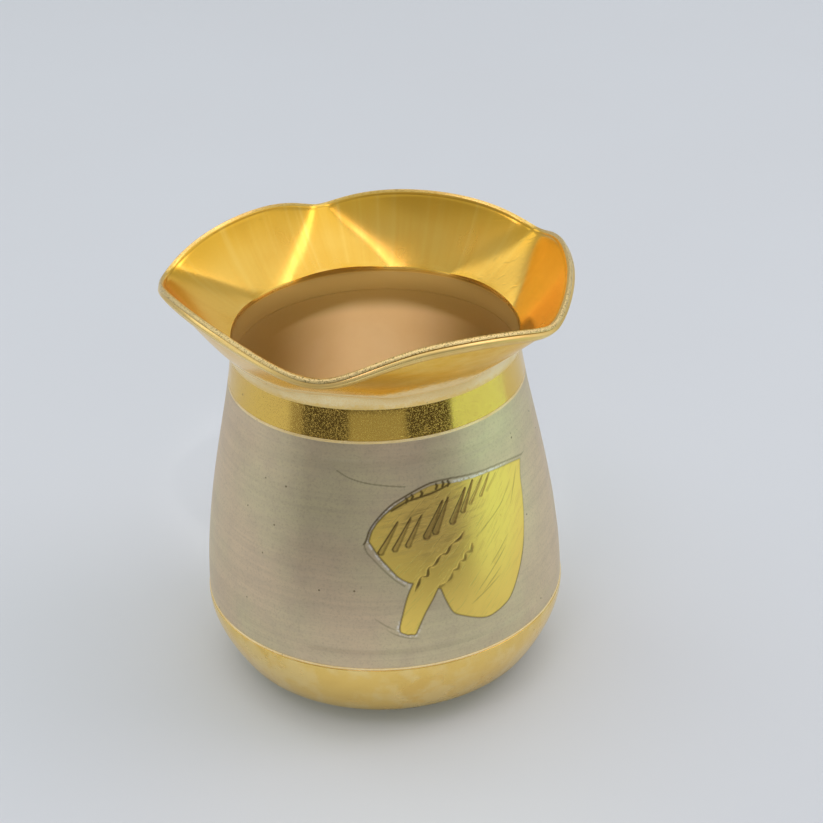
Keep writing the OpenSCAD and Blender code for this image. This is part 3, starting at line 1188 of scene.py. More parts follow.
@dataclass
class BasePan(Shell):
    """The polished pan that the pot stands on, with its lip lapped outside the wall."""

    name: str = "spun_base_pan"
    node: str = "base_pan"
    proud: float = 0.15 * MM
    recess: float = 0.22 * MM
    recess_r: float = 13.0 * MM
    ring_radii: tuple[float, ...] = (3.0 * MM, 6.2 * MM, 9.6 * MM)
    ring_half: float = 0.35 * MM
    ring_flat: float = 0.1 * MM
    ring_depth: float = 0.09 * MM
    floor_bend: float = 1.2 * MM
    floor_r: float = 6.0 * MM

    def underside(self) -> np.ndarray:
        """Returns the standing flat: a shallow recess with turned rings, then the foot."""
        rows = [(0.0, self.recess), (0.5 * MM, self.recess)]
        for r in self.ring_radii:
            rows += [(r - self.ring_half, self.recess),
                     (r - self.ring_flat, self.recess + self.ring_depth),
                     (r + self.ring_flat, self.recess + self.ring_depth),
                     (r + self.ring_half, self.recess)]
        r = self.recess_r
        rows += [(r - 0.5 * MM, self.recess), (r, self.recess * 0.7), (r + 0.3 * MM, 0.04 * MM),
                 (r + 0.7 * MM, 0.0), (self.profile.foot_r - 1.0 * MM, 0.0)]
        return np.array(rows)

    def outline(self) -> np.ndarray:
        """Returns the pan's section from the axis out, up, in and back to the axis."""
        p = self.profile
        belly_z = p.belly[1]
        lip_z = belly_z + p.solder
        shoulder = stretch(p.wall(), belly_z, lip_z, 0.2 * MM)
        skin = offset_path(joined(p.under(), shoulder), self.proud)
        skin[:, 1] = np.clip(skin[:, 1], 0.0, lip_z)
        low = stretch(p.under(), belly_z - p.lap, belly_z, 0.5 * MM)
        lap = offset_path(low, -p.sheet / 2)[::-1]
        body = stretch(p.under(), 0.0, belly_z - p.lap, 0.3 * MM)
        inner = offset_path(body, -p.sheet)[::-1]
        inner = inner[inner[:, 1] > p.sheet + 0.02 * MM]
        outer_top = (skin[-1][0], lip_z)
        inner_top = (shoulder[-1][0] - p.sheet / 2, lip_z)
        edge = joined(rounded(outer_top, skin[-2], inner_top, 0.13 * MM),
                      rounded(inner_top, outer_top, lap[0], 0.08 * MM))
        floor = np.array([(r, p.sheet) for r in (inner[-1][0] - self.floor_bend, self.floor_r, 0.0)])
        return joined(self.underside(), skin[:-1], edge, lap, inner, floor)


@dataclass
class SolderLine:
    """A thin bright ring of solder that fills a seam between two shells."""

    profile: PotProfile
    node: str
    path: np.ndarray
    proud: float
    turn: Sweep = Sweep(360.0, 256)

    def outline(self) -> np.ndarray:
        """Returns the ring's section, rounded on the outside."""
        low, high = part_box(self.node)
        rows = stretch(self.path, low.z, high.z, (high.z - low.z) / 8)
        swell = np.sin(np.linspace(0.0, math.pi, len(rows))) ** 0.6
        face = rows + np.column_stack([self.proud * swell, np.zeros(len(rows))])
        back = offset_path(rows, -self.profile.sheet / 2)[::-1]
        back[:, 1] = np.clip(back[:, 1], low.z, high.z)
        return joined(face, back[[0, -1]])

    def build(self, name: str, material: bpy.types.Material) -> Thing:
        """Turns the ring and dresses it.

        Args:
            name: name of the piece.
            material: the solder's finish.

        Returns:
            The finished piece.
        """
        piece = Bench.turned(name, self.outline(), (self.turn,))
        Bench.smooth(piece, 50.0)
        return Bench.deliver(piece, self.node, "solder", material)


@dataclass
class NeckCollar(Shell):
    """The polished neck, with its skirt inside the wall and its socket for the lip."""

    name: str = "polished_neck"
    node: str = "neck_collar"
    socket: float = 2.2 * MM

    def outline(self) -> np.ndarray:
        """Returns the collar's section, once round."""
        p = self.profile
        sz = p.shoulder[1]
        low = sz + p.solder
        half = p.sheet / 2
        skirt = stretch(p.wall(), sz - p.lap, sz, 0.5 * MM)
        band = stretch(p.neck(), low, p.root_z, 0.3 * MM)
        socket = stretch(p.neck(), p.root_z - self.socket, p.root_z, 0.5 * MM)
        plain = stretch(p.neck(), sz, p.root_z - self.socket, 0.5 * MM)
        foot = (band[0][0], low)
        under = (band[0][0] - half, low)
        corner = rounded(foot, under, band[1], 0.06 * MM)
        return joined(offset_path(skirt, -half), np.array([under]), corner, band[1:],
                      offset_path(socket, -half)[::-1], offset_path(plain, -p.sheet)[::-1],
                      offset_path(skirt, -p.sheet)[::-1])


# ---------------------------------------------------------------- the engraved leaf


def through(points: Sequence[tuple[float, float]], steps: int = 6) -> np.ndarray:
    """Draws a smooth line through points.

    Args:
        points: the points, in order.
        steps: steps between two points.

    Returns:
        The line's points.
    """
    p = np.array([points[0], *points, points[-1]], float)
    t = np.linspace(0.0, 1.0, steps, endpoint=False)[:, None]
    runs = []
    for a, b, c, d in zip(p, p[1:], p[2:], p[3:]):
        runs.append(0.5 * (2 * b + (c - a) * t + (2 * a - 5 * b + 4 * c - d) * t**2
                           + (3 * b - a - 3 * c + d) * t**3))
    return np.vstack([*runs, p[-1:]])


def near_line(spots: np.ndarray, line: np.ndarray) -> tuple[np.ndarray, np.ndarray, np.ndarray]:
    """Measures how spots lie to a line of straight runs.

    Args:
        spots: points in the leaf's plane.
        line: the line's points.

    Returns:
        The distance to the line, the place along it from 0 to 1, and on which side the spot is:
        1 on the left and -1 on the right.
    """
    best = np.full(len(spots), np.inf)
    place = np.zeros(len(spots))
    side = np.ones(len(spots))
    lengths = np.linalg.norm(np.diff(line, axis=0), axis=1)
    total = lengths.sum()
    done = 0.0
    for a, b, length in zip(line, line[1:], lengths):
        if length < 1e-9:
            continue
        along = (b - a) / length
        s = np.clip((spots - a) @ along, 0.0, length)
        gap = spots - a - s[:, None] * along
        d = np.hypot(gap[:, 0], gap[:, 1])
        closer = d < best
        best[closer] = d[closer]
        place[closer] = (done + s[closer]) / total
        turn = along[0] * gap[:, 1] - along[1] * gap[:, 0]
        side[closer] = np.sign(turn[closer] + 1e-12)
        done += length
    return best, place, side


def within(spots: np.ndarray, loop: np.ndarray) -> np.ndarray:
    """Tells which spots lie inside a closed outline.

    Args:
        spots: points in the leaf's plane.
        loop: the outline's points.

    Returns:
        Whether each spot is inside.
    """
    inside = np.zeros(len(spots), bool)
    x, y = spots[:, 0], spots[:, 1]
    for (ax, ay), (bx, by) in zip(loop, np.roll(loop, -1, axis=0)):
        if ay == by:
            continue
        crosses = (ay > y) != (by > y)
        inside ^= crosses & (x < (bx - ax) * (y - ay) / (by - ay) + ax)
    return inside


class Weight(Enum):
    """How strongly a cut is bitten: its width in millimetres and how dark it is."""

    FAINT = (0.18, 0.25)
    LIGHT = (0.30, 0.5)
    FIRM = (0.46, 0.8)
    HEAVY = (0.62, 1.0)


@dataclass(frozen=True)
class Cut:
    """A tapered cut from its sharp end to its round thick end, in the leaf's plane."""

    sharp: tuple[float, float]
    thick: tuple[float, float]
    weight: Weight


@dataclass(frozen=True)
class LeafDrawing:
    """The leaf as it is cut, in millimetres across the pot and up from the table."""

    right_lobe: tuple = ((14.5, 43.05), (14.0, 40.6), (13.95, 37.6), (13.65, 33.8),
                         (12.9, 29.8), (11.85, 26.9), (10.35, 24.1), (8.75, 22.05),
                         (6.65, 21.1), (4.5, 20.7), (2.6, 21.1), (-0.35, 22.45),
                         (-2.0, 23.5), (-3.0, 25.6), (-3.8, 28.1))
    stem: tuple = ((-4.2, 28.3), (-5.3, 26.5), (-6.7, 24.3), (-7.9, 21.9), (-8.4, 20.95),
                   (-9.1, 20.95), (-9.9, 21.1), (-10.75, 21.98), (-10.0, 25.0),
                   (-9.1, 27.71), (-8.1, 29.75))
    left_lobe: tuple = ((-8.1, 29.8), (-8.9, 30.1), (-10.2, 31.15), (-11.4, 32.9),
                        (-12.6, 34.9), (-13.65, 37.2))
    left_top: tuple = ((-13.65, 37.2), (-12.95, 38.95), (-11.7, 40.65), (-9.7, 42.4),
                       (-7.65, 43.6), (-5.62, 44.5), (-3.35, 45.15), (-0.9, 45.0))
    top: tuple = ((-0.9, 45.0), (0.4, 44.7), (4.07, 44.45), (7.9, 44.2), (11.8, 43.7),
                  (14.5, 43.05))
    cuts: tuple[Cut, ...] = (
        Cut((-9.2, 40.1), (-12.2, 35.3), Weight.FIRM),
        Cut((-7.2, 40.5), (-10.1, 35.7), Weight.FIRM),
        Cut((-5.5, 40.7), (-8.1, 36.2), Weight.FIRM),
        Cut((-1.9, 42.3), (-5.1, 37.2), Weight.HEAVY),
        Cut((-0.9, 42.6), (-3.6, 37.7), Weight.HEAVY),
        Cut((2.2, 43.3), (-0.6, 38.7), Weight.HEAVY),
        Cut((3.7, 44.1), (1.4, 39.9), Weight.FIRM),
        Cut((5.7, 44.2), (2.9, 40.7), Weight.LIGHT),
        Cut((7.1, 44.1), (5.0, 41.3), Weight.LIGHT),
        Cut((8.4, 43.6), (6.3, 41.6), Weight.FAINT),
    )
    left_wriggle: tuple = ((1.06, 36.48), (0.27, 35.56), (-1.23, 34.93), (-2.22, 33.71),
                           (-3.18, 33.63), (-4.35, 32.31), (-5.4, 31.89), (-5.73, 30.68),
                           (-6.72, 30.64), (-7.2, 29.66), (-7.9, 28.48))
    right_wriggle: tuple = ((2.26, 34.11), (2.0, 32.93), (0.97, 32.93), (0.73, 31.84),
                            (-0.17, 31.79), (-0.61, 30.74), (-1.38, 30.64), (-2.05, 29.42),
                            (-3.29, 28.65), (-3.92, 28.48))
    rope: tuple = ((-9.9, 42.0), (-7.73, 43.1), (-6.16, 43.5), (-3.75, 43.9), (-1.85, 44.3),
                   (-0.3, 44.8))
    nicks: tuple = ((-7.4, 43.5), (-6.5, 43.9), (-5.0, 44.2), (-2.5, 44.9), (-1.4, 45.05),
                    (-0.5, 44.95))
    guide: tuple = ((-14.35, 36.7), (-13.95, 37.4), (-13.2, 39.2), (-11.7, 41.15),
                    (-9.8, 42.9), (-8.0, 43.9), (-5.99, 44.8), (-3.51, 45.55), (-0.6, 45.6),
                    (4.0, 45.1), (9.0, 44.7), (12.5, 44.1), (15.6, 43.3))
    low_guide: tuple = ((-14.35, 36.7), (-14.1, 35.4), (-13.4, 34.3), (-12.1, 32.4),
                        (-10.8, 30.8), (-9.4, 29.5))
    slips: tuple = (((-14.2, 24.2), (-12.6, 22.8), (-11.2, 21.9)),
                    ((-12.9, 22.4), (-11.4, 21.2), (-9.2, 20.3), (-7.6, 20.1)),
                    ((2.92, 34.73), (8.18, 37.97), (9.84, 39.53), (11.32, 41.11)),
                    ((1.34, 24.03), (7.3, 27.04)), ((2.93, 26.14), (8.9, 31.32)),
                    ((3.6, 25.4), (7.6, 28.4)), ((5.4, 29.3), (9.6, 33.0)),
                    ((10.9, 37.5), (13.2, 42.5)))
    scribe: tuple = ((-104.6, 48.3), (-99.8, 47.2), (-92.9, 46.4), (-80.9, 45.6))

    def outline(self) -> np.ndarray:
        """Returns the leaf's closed outline."""
        runs = (self.right_lobe, self.stem, self.left_lobe, self.left_top, self.top)
        return np.vstack([through(run) for run in runs])


@dataclass(frozen=True)
class Engraver:
    """Cuts the leaf into the wall and stores what each cut looks like; its sizes are in mm."""

    drawing: LeafDrawing = field(default_factory=LeafDrawing)
    facing: float = -64.0
    half_turn: float = 50.0
    heights: tuple[float, float] = (18.0, 50.0)
    mm_per_degree: float = 0.47
    far_off: float = -9.0
    scrape: float = 0.12
    groove: float = 0.16
    wriggle_depth: float = 0.10

    def plane(self, points: np.ndarray) -> np.ndarray:
        """Returns points of the wall as millimetres across the leaf and up."""
        turn = np.arctan2(points[:, 1], points[:, 0]) - math.radians(self.facing)
        across = np.hypot(points[:, 0], points[:, 1]) * np.sin(turn)
        return np.column_stack([across, points[:, 2]]) / MM

    def carve(self, piece: Thing, skin: np.ndarray) -> None:
        """Scrapes the patch round the leaf, sinks the cuts in it and stores what the finish reads.

        Args:
            piece: the wall.
            skin: which of its points are on the outer face.
        """
        points = Bench.points(piece)
        spots = self.plane(points)
        turn = np.degrees(np.arctan2(points[:, 1], points[:, 0]))
        low, high = self.heights
        reach = skin & (abs(turn - self.facing) < self.half_turn)
        reach &= (spots[:, 1] > low) & (spots[:, 1] < high)
        values = {name: np.zeros(len(points)) for name in ("cut", "line", "burr", "shade", "sink")}
        values["leaf"] = np.full(len(points), self.far_off)
        for name, found in self.bite(spots[reach]).items():
            values[name][reach] = found
        ring = np.column_stack([turn * self.mm_per_degree, spots[:, 1]])
        scribe = through([(a * self.mm_per_degree, z) for a, z in self.drawing.scribe])
        far, _, _ = near_line(ring[reach], scribe)
        values["line"][reach] = np.maximum(values["line"][reach], 0.5 * fade(far, 0.15, 0.05))
        out = np.hypot(points[:, 0], points[:, 1])
        sink = values.pop("sink") * MM
        points[:, :2] *= ((out - sink) / out)[:, None]
        Bench.set_points(piece, points)
        for name, found in values.items():
            Bench.mark(piece, name, found)
        Bench.mark(piece, "plane", np.column_stack([spots, np.zeros(len(spots))]))

    def bite(self, spots: np.ndarray) -> dict[str, np.ndarray]:
        """Works out the cuts at spots of the leaf's plane.

        Args:
            spots: places in millimetres.

        Returns:
            For each spot: leaf, the distance inside the outline; sink, the depth; and the
            shares of cut, dark line with painted shadow on one flank of the cuts, burr and painted
            olive shade.
        """
        loop = self.drawing.outline()
        far, _, _ = near_line(spots, np.vstack([loop, loop[:1]]))
        leaf = np.where(within(spots, loop), far, -far)
        tapered, cut, flank_lines_and_shadows = self.tapered(spots)
        wriggled, wriggles = self.wriggled(spots)
        sink = self.scrape + np.maximum(tapered, wriggled)
        line = np.maximum.reduce([flank_lines_and_shadows, wriggles, self.scratched(spots), self.rim(spots, leaf)])
        # painted shade: an olive patch on the leaf, centred a little left of the middle and high up
        from_heart = np.hypot((spots[:, 0] + 4.0) / 1.15, spots[:, 1] - 40.0)
        return {"leaf": leaf, "sink": sink, "cut": cut, "line": line,
                "burr": self.burr(spots, leaf), "shade": fade(from_heart, 9.5, 2.5)}

    def tapered(self, spots: np.ndarray) -> tuple[np.ndarray, np.ndarray, np.ndarray]:
        """Works out the tapered cuts.

        Args:
            spots: places in the leaf's plane, in millimetres.

        Returns:
            The depth in millimetres, and the shares of bright floor and of dark flank line,
            twice as dark on one side as painted shadow.
        """
        depth, cut, line = np.zeros((3, len(spots)))
        for one in self.drawing.cuts:
            width, dark = one.weight.value
            gap, place, side = near_line(spots, np.array([one.sharp, one.thick]))
            half = width * (0.14 + 0.86 * place**0.8)
            off = abs(gap - half * 0.8)
            body = fade(gap / half, 1.0, 0.55)
            # painted shadow: the line on a cut's right-hand flank is twice as dark as on its left
            flank_line_and_shadow = fade(off, 0.19, 0.05) * np.where(side < 0, 1.0, 0.5)
            tip = fade(place, 0.9, 0.99) * fade(off, 0.22, 0.08)
            depth = np.maximum(depth, self.groove * dark * body * (1.0 - 0.5 * gap / half))
            cut = np.maximum(cut, body * dark**2 * 0.75)
            line = np.maximum(line, np.clip(1.2 * dark * np.maximum(flank_line_and_shadow, tip * 0.6), 0.0, 1.0))
        return depth, cut, line

    def wriggled(self, spots: np.ndarray) -> tuple[np.ndarray, np.ndarray]:
        """Works out the two wriggled lines, which swell in beats.

        Args:
            spots: places in the leaf's plane, in millimetres.

        Returns:
            The depth in millimetres and the darkness.
        """
        depth, line = np.zeros((2, len(spots)))
        for chain, weight in ((self.drawing.left_wriggle, 1.0), (self.drawing.right_wriggle, 0.7)):
            gap, place, _ = near_line(spots, through(chain, 4))
            beats = np.abs(np.sin(place * math.pi * (len(chain) - 1) / 2))
            half = 0.11 + 0.23 * beats
            bite = fade(gap / half, 1.0, 0.45)
            depth = np.maximum(depth, self.wriggle_depth * weight * bite)
            line = np.maximum(line, weight * bite * (0.45 + 0.4 * beats))
        return depth, line

    def scratched(self, spots: np.ndarray) -> np.ndarray:
        """Works out the rope line, its nicks, the guide lines and the slips.

        Args:
            spots: places in the leaf's plane, in millimetres.

        Returns:
            The darkness.
        """
        d = self.drawing
        gap, _, _ = near_line(spots, through(d.rope))
        line = 0.85 * fade(gap, 0.24, 0.09)
        for x, y in d.nicks:
            nick = np.array([(x - 0.22, y - 0.45), (x + 0.05, y), (x - 0.1, y + 0.3)])
            gap, _, _ = near_line(spots, nick)
            line = np.maximum(line, 0.9 * fade(gap, 0.28, 0.12))
        gap, place, _ = near_line(spots, through(d.guide))
        line = np.maximum(line, fade(gap, 0.2, 0.07) * (0.85 - 0.4 * fade(place, 0.4, 0.7)))
        gap, _, _ = near_line(spots, through(d.low_guide))
        line = np.maximum(line, 0.45 * fade(gap, 0.18, 0.06))
        for slip in d.slips:
            gap, place, _ = near_line(spots, through(slip))
            ends = np.sin(np.clip(place, 0.02, 0.98) * math.pi) ** 0.5
            line = np.maximum(line, 0.4 * ends * fade(gap, 0.17, 0.05))
        return line

    @staticmethod
    def rim(spots: np.ndarray, leaf: np.ndarray) -> np.ndarray:
        """Works out the drawn outline: strong at the left and below, weak along the top.

        Args:
            spots: places in the leaf's plane, in millimetres.
            leaf: distance inside the outline.

        Returns:
            The darkness.
        """
        left = fade(spots[:, 0], 0.0, -4.0)
        low = fade(spots[:, 1], 31.5, 29.0) * (1 - left)
        upper = fade(spots[:, 1], 43.9, 44.5)
        return fade(abs(leaf), 0.2, 0.07) * (0.3 + 0.35 * left + 0.3 * low) * (1 - 0.7 * upper)

    @staticmethod
    def burr(spots: np.ndarray, leaf: np.ndarray) -> np.ndarray:
        """Works out the pale burr that the tool threw up outside the outline.

        Args:
            spots: places in the leaf's plane, in millimetres.
            leaf: distance inside the outline.

        Returns:
            The share of burr.
        """
        x, y = spots.T
        outside = fade(-leaf, 0.0, 0.08) * fade(-leaf, 0.60, 0.25)
        foot = fade(y, 24.5, 22.5) * fade(x, -6.5, -9.0)
        side = fade(x, -7.0, -9.5) * fade(y, 29.5, 31.0)
        top = fade(y, 43.9, 44.5) * fade(x, -1.0, 0.5) * fade(x, 12.5, 10.5)
        notch = np.exp(-((x + 9.2) ** 2 + (y - 29.6) ** 2) / 0.5)
        return outside * np.clip(foot + side + top + notch, 0.0, 1.0)


@dataclass
class SatinBarrel(Shell):
    """The satin wall of the pot, lapped at both ends, with the engraved leaf."""

    name: str = "satin_barrel"
    node: str = "body_wall"
    slot: str = "satin_brass"
    sweeps: tuple[Sweep, ...] = (Sweep(78.0, 270), Sweep(282.0, 94))
    start: float = -107.0
    engraver: Engraver = field(default_factory=Engraver)
    fine: float = 0.14 * MM
    coarse: float = 0.45 * MM
    leaf_from: float = 19.5 * MM
    leaf_to: float = 49.0 * MM

    def outline(self) -> np.ndarray:
        """Returns the wall's section, once round."""
        p = self.profile
        low = p.belly[1] + 2 * p.solder
        high = p.shoulder[1]
        half = p.sheet / 2
        wall = p.wall()
        tail_in = stretch(p.under(), p.belly[1] - p.lap, p.belly[1], 0.5 * MM)
        tail = joined(tail_in, stretch(wall, p.belly[1], low, 0.3 * MM))
        face = joined(stretch(wall, low, self.leaf_from, self.coarse),
                      stretch(wall, self.leaf_from, self.leaf_to, self.fine),
                      stretch(wall, self.leaf_to, high, self.coarse))
        lap = stretch(wall, high - p.lap, high, 0.5 * MM)
        waist = stretch(wall, low, high - p.lap, 1.2 * MM)
        bottom = (tail[-1][0] - half, low)
        top = (face[-1][0] - half, high)
        low_edge = rounded(face[0], bottom, face[1], 0.08 * MM)
        top_edge = rounded(face[-1], face[-2], top, 0.08 * MM)
        return joined(offset_path(tail, -half), low_edge, face[1:-1], top_edge,
                      offset_path(lap, -half)[::-1], offset_path(waist, -p.sheet)[::-1],
                      offset_path(tail_in, -p.sheet)[::-1])

    def work(self, piece: Thing) -> None:
        """Engraves the leaf into the wall's outer face.

        Args:
            piece: the spun wall.
        """
        p = self.profile
        points = Bench.points(piece)
        out = np.hypot(points[:, 0], points[:, 1])
        wall = p.wall()
        skin_r = np.interp(points[:, 2], wall[:, 1], wall[:, 0])
        skin = (out > skin_r - 0.1 * MM) & (points[:, 2] > p.belly[1] + 2.5 * p.solder)
        self.engraver.carve(piece, skin)


# ---------------------------------------------------------------- the frilled lip


@dataclass(frozen=True)
class Frill:
    """The flare: straight lines from the throat out to a rim pressed into five lobes."""

    throat_r: float = 23.39 * MM
    throat_z: float = 60.75 * MM
    length: float = 13.6 * MM
    sheet: float = 0.9 * MM
    corners: tuple[float, ...] = (36.0, 106.0, 170.0, 256.0, 324.0)
    corner_slopes: tuple[float, ...] = (35.0, 38.0, 37.0, 38.0, 43.0)
    softness: tuple[float, ...] = (4.0, 3.0, 8.0, 9.0, 4.0)
    lobe_slopes: tuple[float, ...] = (60.0, 61.0, 56.0, 57.0, 56.0)
    facet: float = 21.0
    tip: float = 2.0
    blend: float = 2.5
    flatness: float = 0.45
    cup: float = 0.6 * MM

    def placed(self, turn: np.ndarray) -> tuple[np.ndarray, np.ndarray, np.ndarray]:
        """Finds where directions lie between the corners.

        Args:
            turn: directions, in degrees.

        Returns:
            The number of the corner before each, the span to the next and the place in it.
        """
        corners = np.array(self.corners)
        sector = np.searchsorted(corners, turn, side="right") - 1
        sector = np.where(sector < 0, len(corners) - 1, sector)
        span = (np.roll(corners, -1)[sector] - corners[sector]) % 360.0
        place = ((turn - corners[sector]) % 360.0) / span
        return sector, span, place

    def rim_turn(self, turn: np.ndarray) -> np.ndarray:
        """Finds where the straight lines that leave the throat reach the rim.

        Args:
            turn: directions at the throat, in degrees.

        Returns:
            The directions at the rim, in degrees.
        """
        sector, span, place = self.placed(turn)
        half = span / 2
        off = span * np.minimum(place, 1 - place)
        lean = self.tip / self.facet
        swell = (1 - lean) * half / self.opening(half)
        rim = lean * off + swell * self.opening(off)
        return np.array(self.corners)[sector] + np.where(place <= 0.5, rim, span - rim)

    def opening(self, off: np.ndarray) -> np.ndarray:
        """Returns how far past a facet's edge a direction lies, with the edge rounded."""
        return self.blend * np.log1p(np.exp((off - self.facet) / self.blend))

    def slope(self, turn: np.ndarray) -> np.ndarray:
        """Works out how steeply the flare rises: least at a corner and most in a lobe.

        Args:
            turn: directions at the rim, in degrees.

        Returns:
            The slopes, in radians.
        """
        sector, span, place = self.placed(turn % 360.0)
        near = np.where(place <= 0.5, sector, (sector + 1) % len(self.corners))
        half = span / 2
        x = half * (1 - abs(2 * place - 1))
        e = np.array(self.softness)[near]
        rise = (np.sqrt(x * x + e * e) - e) / (np.sqrt(half * half + e * e) - e)
        lobe = np.array(self.lobe_slopes)[sector]
        corner = np.array(self.corner_slopes)[near]
        return np.radians(lobe + (corner - lobe) * (1 - rise) ** 2.1)

    def ring(self, turn: np.ndarray, along: np.ndarray | float,
             depth: np.ndarray | float) -> np.ndarray:
        """Returns one ring of the flare.

        Args:
            turn: throat directions, in degrees.
            along: distance up the flare from the throat.
            depth: distance under the inner face, square to the sheet.

        Returns:
            One point for each direction.
        """
        rim = self.rim_turn(turn)
        slope = self.slope(rim)
        drop_r, drop_z = depth * np.sin(slope), -depth * np.cos(slope)
        low = polar(turn, self.throat_r + drop_r, self.throat_z + drop_z)
        high = polar(rim, self.throat_r + self.length * np.cos(slope) + drop_r,
                     self.throat_z + self.length * np.sin(slope) + drop_z)
        share = np.asarray(along) / self.length
        ring = low + (high - low) * (share[:, None] if share.ndim else share)
        return ring + self.flattening(turn, share, slope)

    def flattening(self, turn: np.ndarray, share: np.ndarray, slope: np.ndarray) -> np.ndarray:
        """Works out how the sheet is pressed flat at the corners and cupped at the lobes.

        Args:
            turn: directions at the throat, in degrees.
            share: place up the flare, from 0 at the throat to 1 at the rim.
            slope: the flare's slopes, in radians.

        Returns:
            How far each point moves.
        """
        _, span, place = self.placed(turn)
        off = span * np.minimum(place, 1 - place)
        bow = self.throat_r * (1 - math.cos(math.radians(self.facet)))
        hump = 1 - (off / self.facet) ** 2
        hump = (hump + np.sqrt(hump**2 + 0.02)) / 2
        depth = self.flatness * bow * hump * (1 - share) ** 2
        lobe = fade(off, 0.8 * self.facet, span / 2)
        depth = depth - self.cup * 4 * share * (1 - share) * lobe
        return polar(turn, -depth * np.sin(slope), depth * np.cos(slope))


def polar(turn: np.ndarray, r: np.ndarray | float, z: np.ndarray | float) -> np.ndarray:
    """Returns points from directions in degrees, radii and heights."""
    a = np.radians(turn)
    return np.column_stack([r * np.cos(a), r * np.sin(a), z + 0 * a])


@dataclass
class RingStack:
    """The rings of a loft, with the shares of what the piece's finish shows on each."""

    names: tuple[str, ...]
    rings: list[np.ndarray] = field(default_factory=list)
    shares: list[list[float]] = field(default_factory=list)

    def put(self, ring: np.ndarray, **found: float) -> None:
        """Adds a ring; a share that isn't given is 0."""
        self.rings.append(ring)
        self.shares.append([found.get(name, 0.0) for name in self.names])

    def loft(self, name: str) -> Thing:
        """Lofts the rings and stores on each point the shares of the ring that it lies on.

        Args:
            name: name of the new piece.

        Returns:
            The closed piece.
        """
        piece = Bench.ring_loft(name, self.rings)
        spots = np.vstack(self.rings)
        tree = KDTree(len(spots))
        for number, spot in enumerate(spots):
            tree.insert(spot, number)
        tree.balance()
        count = len(self.rings[0])
        found = [tree.find(vert.co)[1] // count for vert in piece.data.vertices]
        for label, values in zip(self.names, np.array(self.shares)[found].T):
            Bench.mark(piece, label, values)
        return piece


